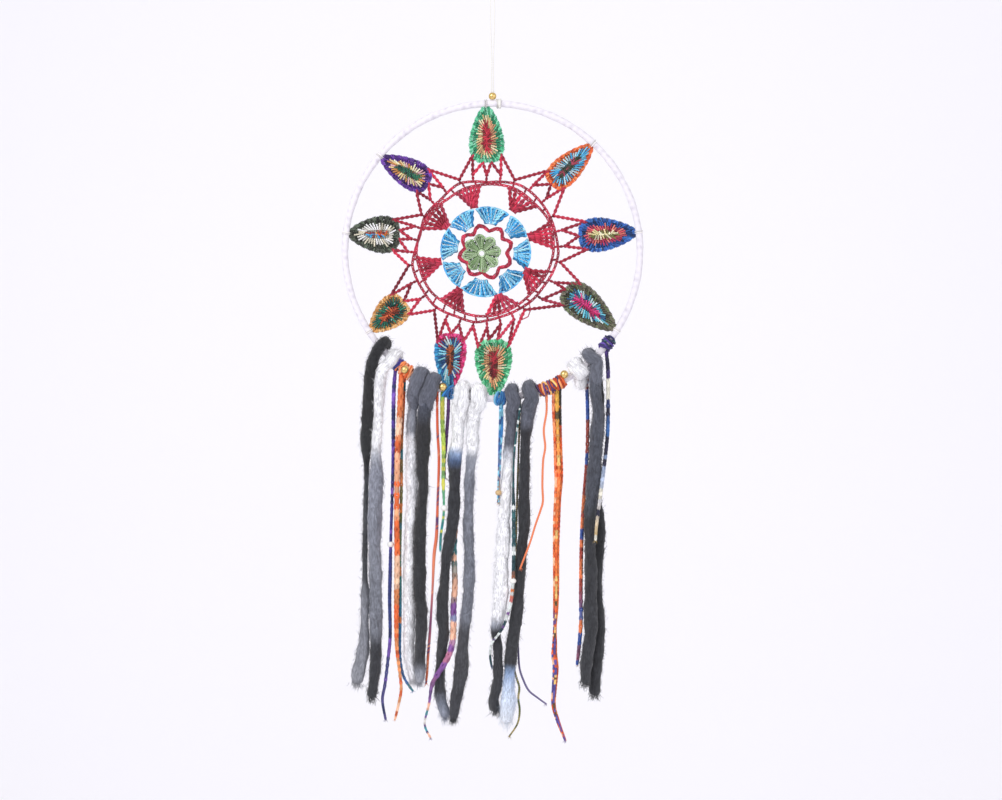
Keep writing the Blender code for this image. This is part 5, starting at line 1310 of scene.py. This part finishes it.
ties = Piece()
for leaf in LEAVES:
    foot, way, _, long = leaf_axes(leaf[1], leaf[2])
    tip = at(*(foot + way * (long - 2)))
    out = (tip - np.array(HOOP)) / np.linalg.norm(tip - np.array(HOOP))
    run = np.array([-out[2], 0.0, out[0]])
    for k in (-0.5, 0.5):
        turn = np.linspace(0, 2 * pi, 19)[:-1]
        spot = np.array(HOOP) + out * HOOP_R + run * k * 0.0016
        ring = spot + (TUBE_R + 0.0005) * (np.cos(turn)[:, None] * out + np.sin(turn)[:, None] * FRONT)
        tube(ties, ring, 0.0005, pick(("#F1EEEC", "#E6E2DE")), 6, tuple(run), closed=True)
ties.finish("leaf_ties", cotton, "hoop", "white_cotton")

# %% [markdown]
# The beads are of three kinds: polished brass, glossy white glass and lacquered wood. A bead is a
# ball with its caps cut off and a hole bridged between the two openings. Brass takes its colour
# from the metal itself, and small dents in it break up the highlight.

# %% Beads
brass, tree, shader = new_material("polished brass", Metallic=1.0, Roughness=0.24)
dents = add_node(tree, "ShaderNodeTexNoise", Scale=700.0, Detail=2.0)
patina = add_node(tree, "ShaderNodeMix", [("Factor", dents.outputs["Fac"])], data_type="RGBA")
patina.inputs["A"].default_value, patina.inputs["B"].default_value = linear("#D9AE5A"), linear("#F4DC9C")
tree.links.new(patina.outputs["Result"], shader.inputs["Base Color"])
bump = add_node(tree, "ShaderNodeBump", [("Height", dents.outputs["Fac"])], Strength=0.15, Distance=0.0002)
tree.links.new(bump.outputs["Normal"], shader.inputs["Normal"])

glass, tree, shader = new_material("white pressed glass", Roughness=0.12, IOR=1.52)
swirl = add_node(tree, "ShaderNodeTexNoise", Scale=400.0, Detail=3.0)
milk = add_node(tree, "ShaderNodeMix", [("Factor", swirl.outputs["Fac"])], data_type="RGBA")
milk.inputs["A"].default_value, milk.inputs["B"].default_value = linear("#E4E2DC"), linear("#FAFAF8")
tree.links.new(milk.outputs["Result"], shader.inputs["Base Color"])

wood, tree, shader = new_material("lacquered birch", Roughness=0.3, IOR=1.5)
grain = add_node(tree, "ShaderNodeTexWave", Scale=500.0, Distortion=4.0, Detail=2.0)
board = add_node(tree, "ShaderNodeMix", [("Factor", grain.outputs["Fac"])], data_type="RGBA")
board.inputs["A"].default_value, board.inputs["B"].default_value = linear("#B98F57"), linear("#DCC091")
tree.links.new(board.outputs["Result"], shader.inputs["Base Color"])


def bead(name, node, body, mat, radius, hole, tall, along=(0, 0, 1)):
    """A round bead: a ball whose two caps are cut off, with the two openings joined by the hole."""
    low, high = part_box(node)
    clear_selection()
    bpy.ops.mesh.primitive_uv_sphere_add(segments=28, ring_count=16, radius=1.0)
    made = bpy.context.object
    made.name = name
    cut = sqrt(1 - (hole / radius) ** 2)
    bpy.ops.object.mode_set(mode="EDIT")
    for sign in (1, -1):
        bpy.ops.mesh.select_all(action="SELECT")
        bpy.ops.mesh.bisect(plane_co=(0, 0, sign * cut), plane_no=(0, 0, sign), clear_outer=True)
    bpy.ops.mesh.select_all(action="SELECT")
    bpy.ops.mesh.region_to_loop()
    bpy.ops.mesh.bridge_edge_loops()
    bpy.ops.mesh.select_all(action="SELECT")
    bpy.ops.mesh.normals_make_consistent(inside=False)
    bpy.ops.transform.resize(value=(radius, radius, tall / 2 / cut), center_override=(0, 0, 0))
    bpy.ops.object.mode_set(mode="OBJECT")
    made.rotation_mode = "QUATERNION"
    made.rotation_quaternion = Vector((0, 0, 1)).rotation_difference(Vector(along))
    made.location = (low + high) / 2
    bpy.ops.object.transform_apply(location=True, rotation=True, scale=True)
    bpy.ops.object.shade_smooth()
    made.data.materials.append(mat)
    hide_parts(node)
    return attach(made, body)


bead("bead_brass_top", "top_bead", "top_bead", brass, 0.0039, 0.0021, 0.0068)
for node in ("hoop_bead_left", "hoop_bead_middle", "hoop_bead_right"):
    bead(node + "_brass", node, "hoop", brass, 0.0043, 0.0012, 0.0078, (1, 0, 0))
bead("bead_glass_left", "bead_white_left", "strands_1", glass, 0.0036, 0.0016, 0.0056)
bead("bead_glass_middle", "bead_white_middle", "strands_2", glass, 0.0034, 0.0014, 0.0056)
bead("bead_birch", "bead_tan", "tassel_4", wood, 0.0032, 0.0014, 0.0052)
bead("bead_pearl_glass", "bead_pearl", "tassel_4", glass, 0.0034, 0.0014, 0.0050)
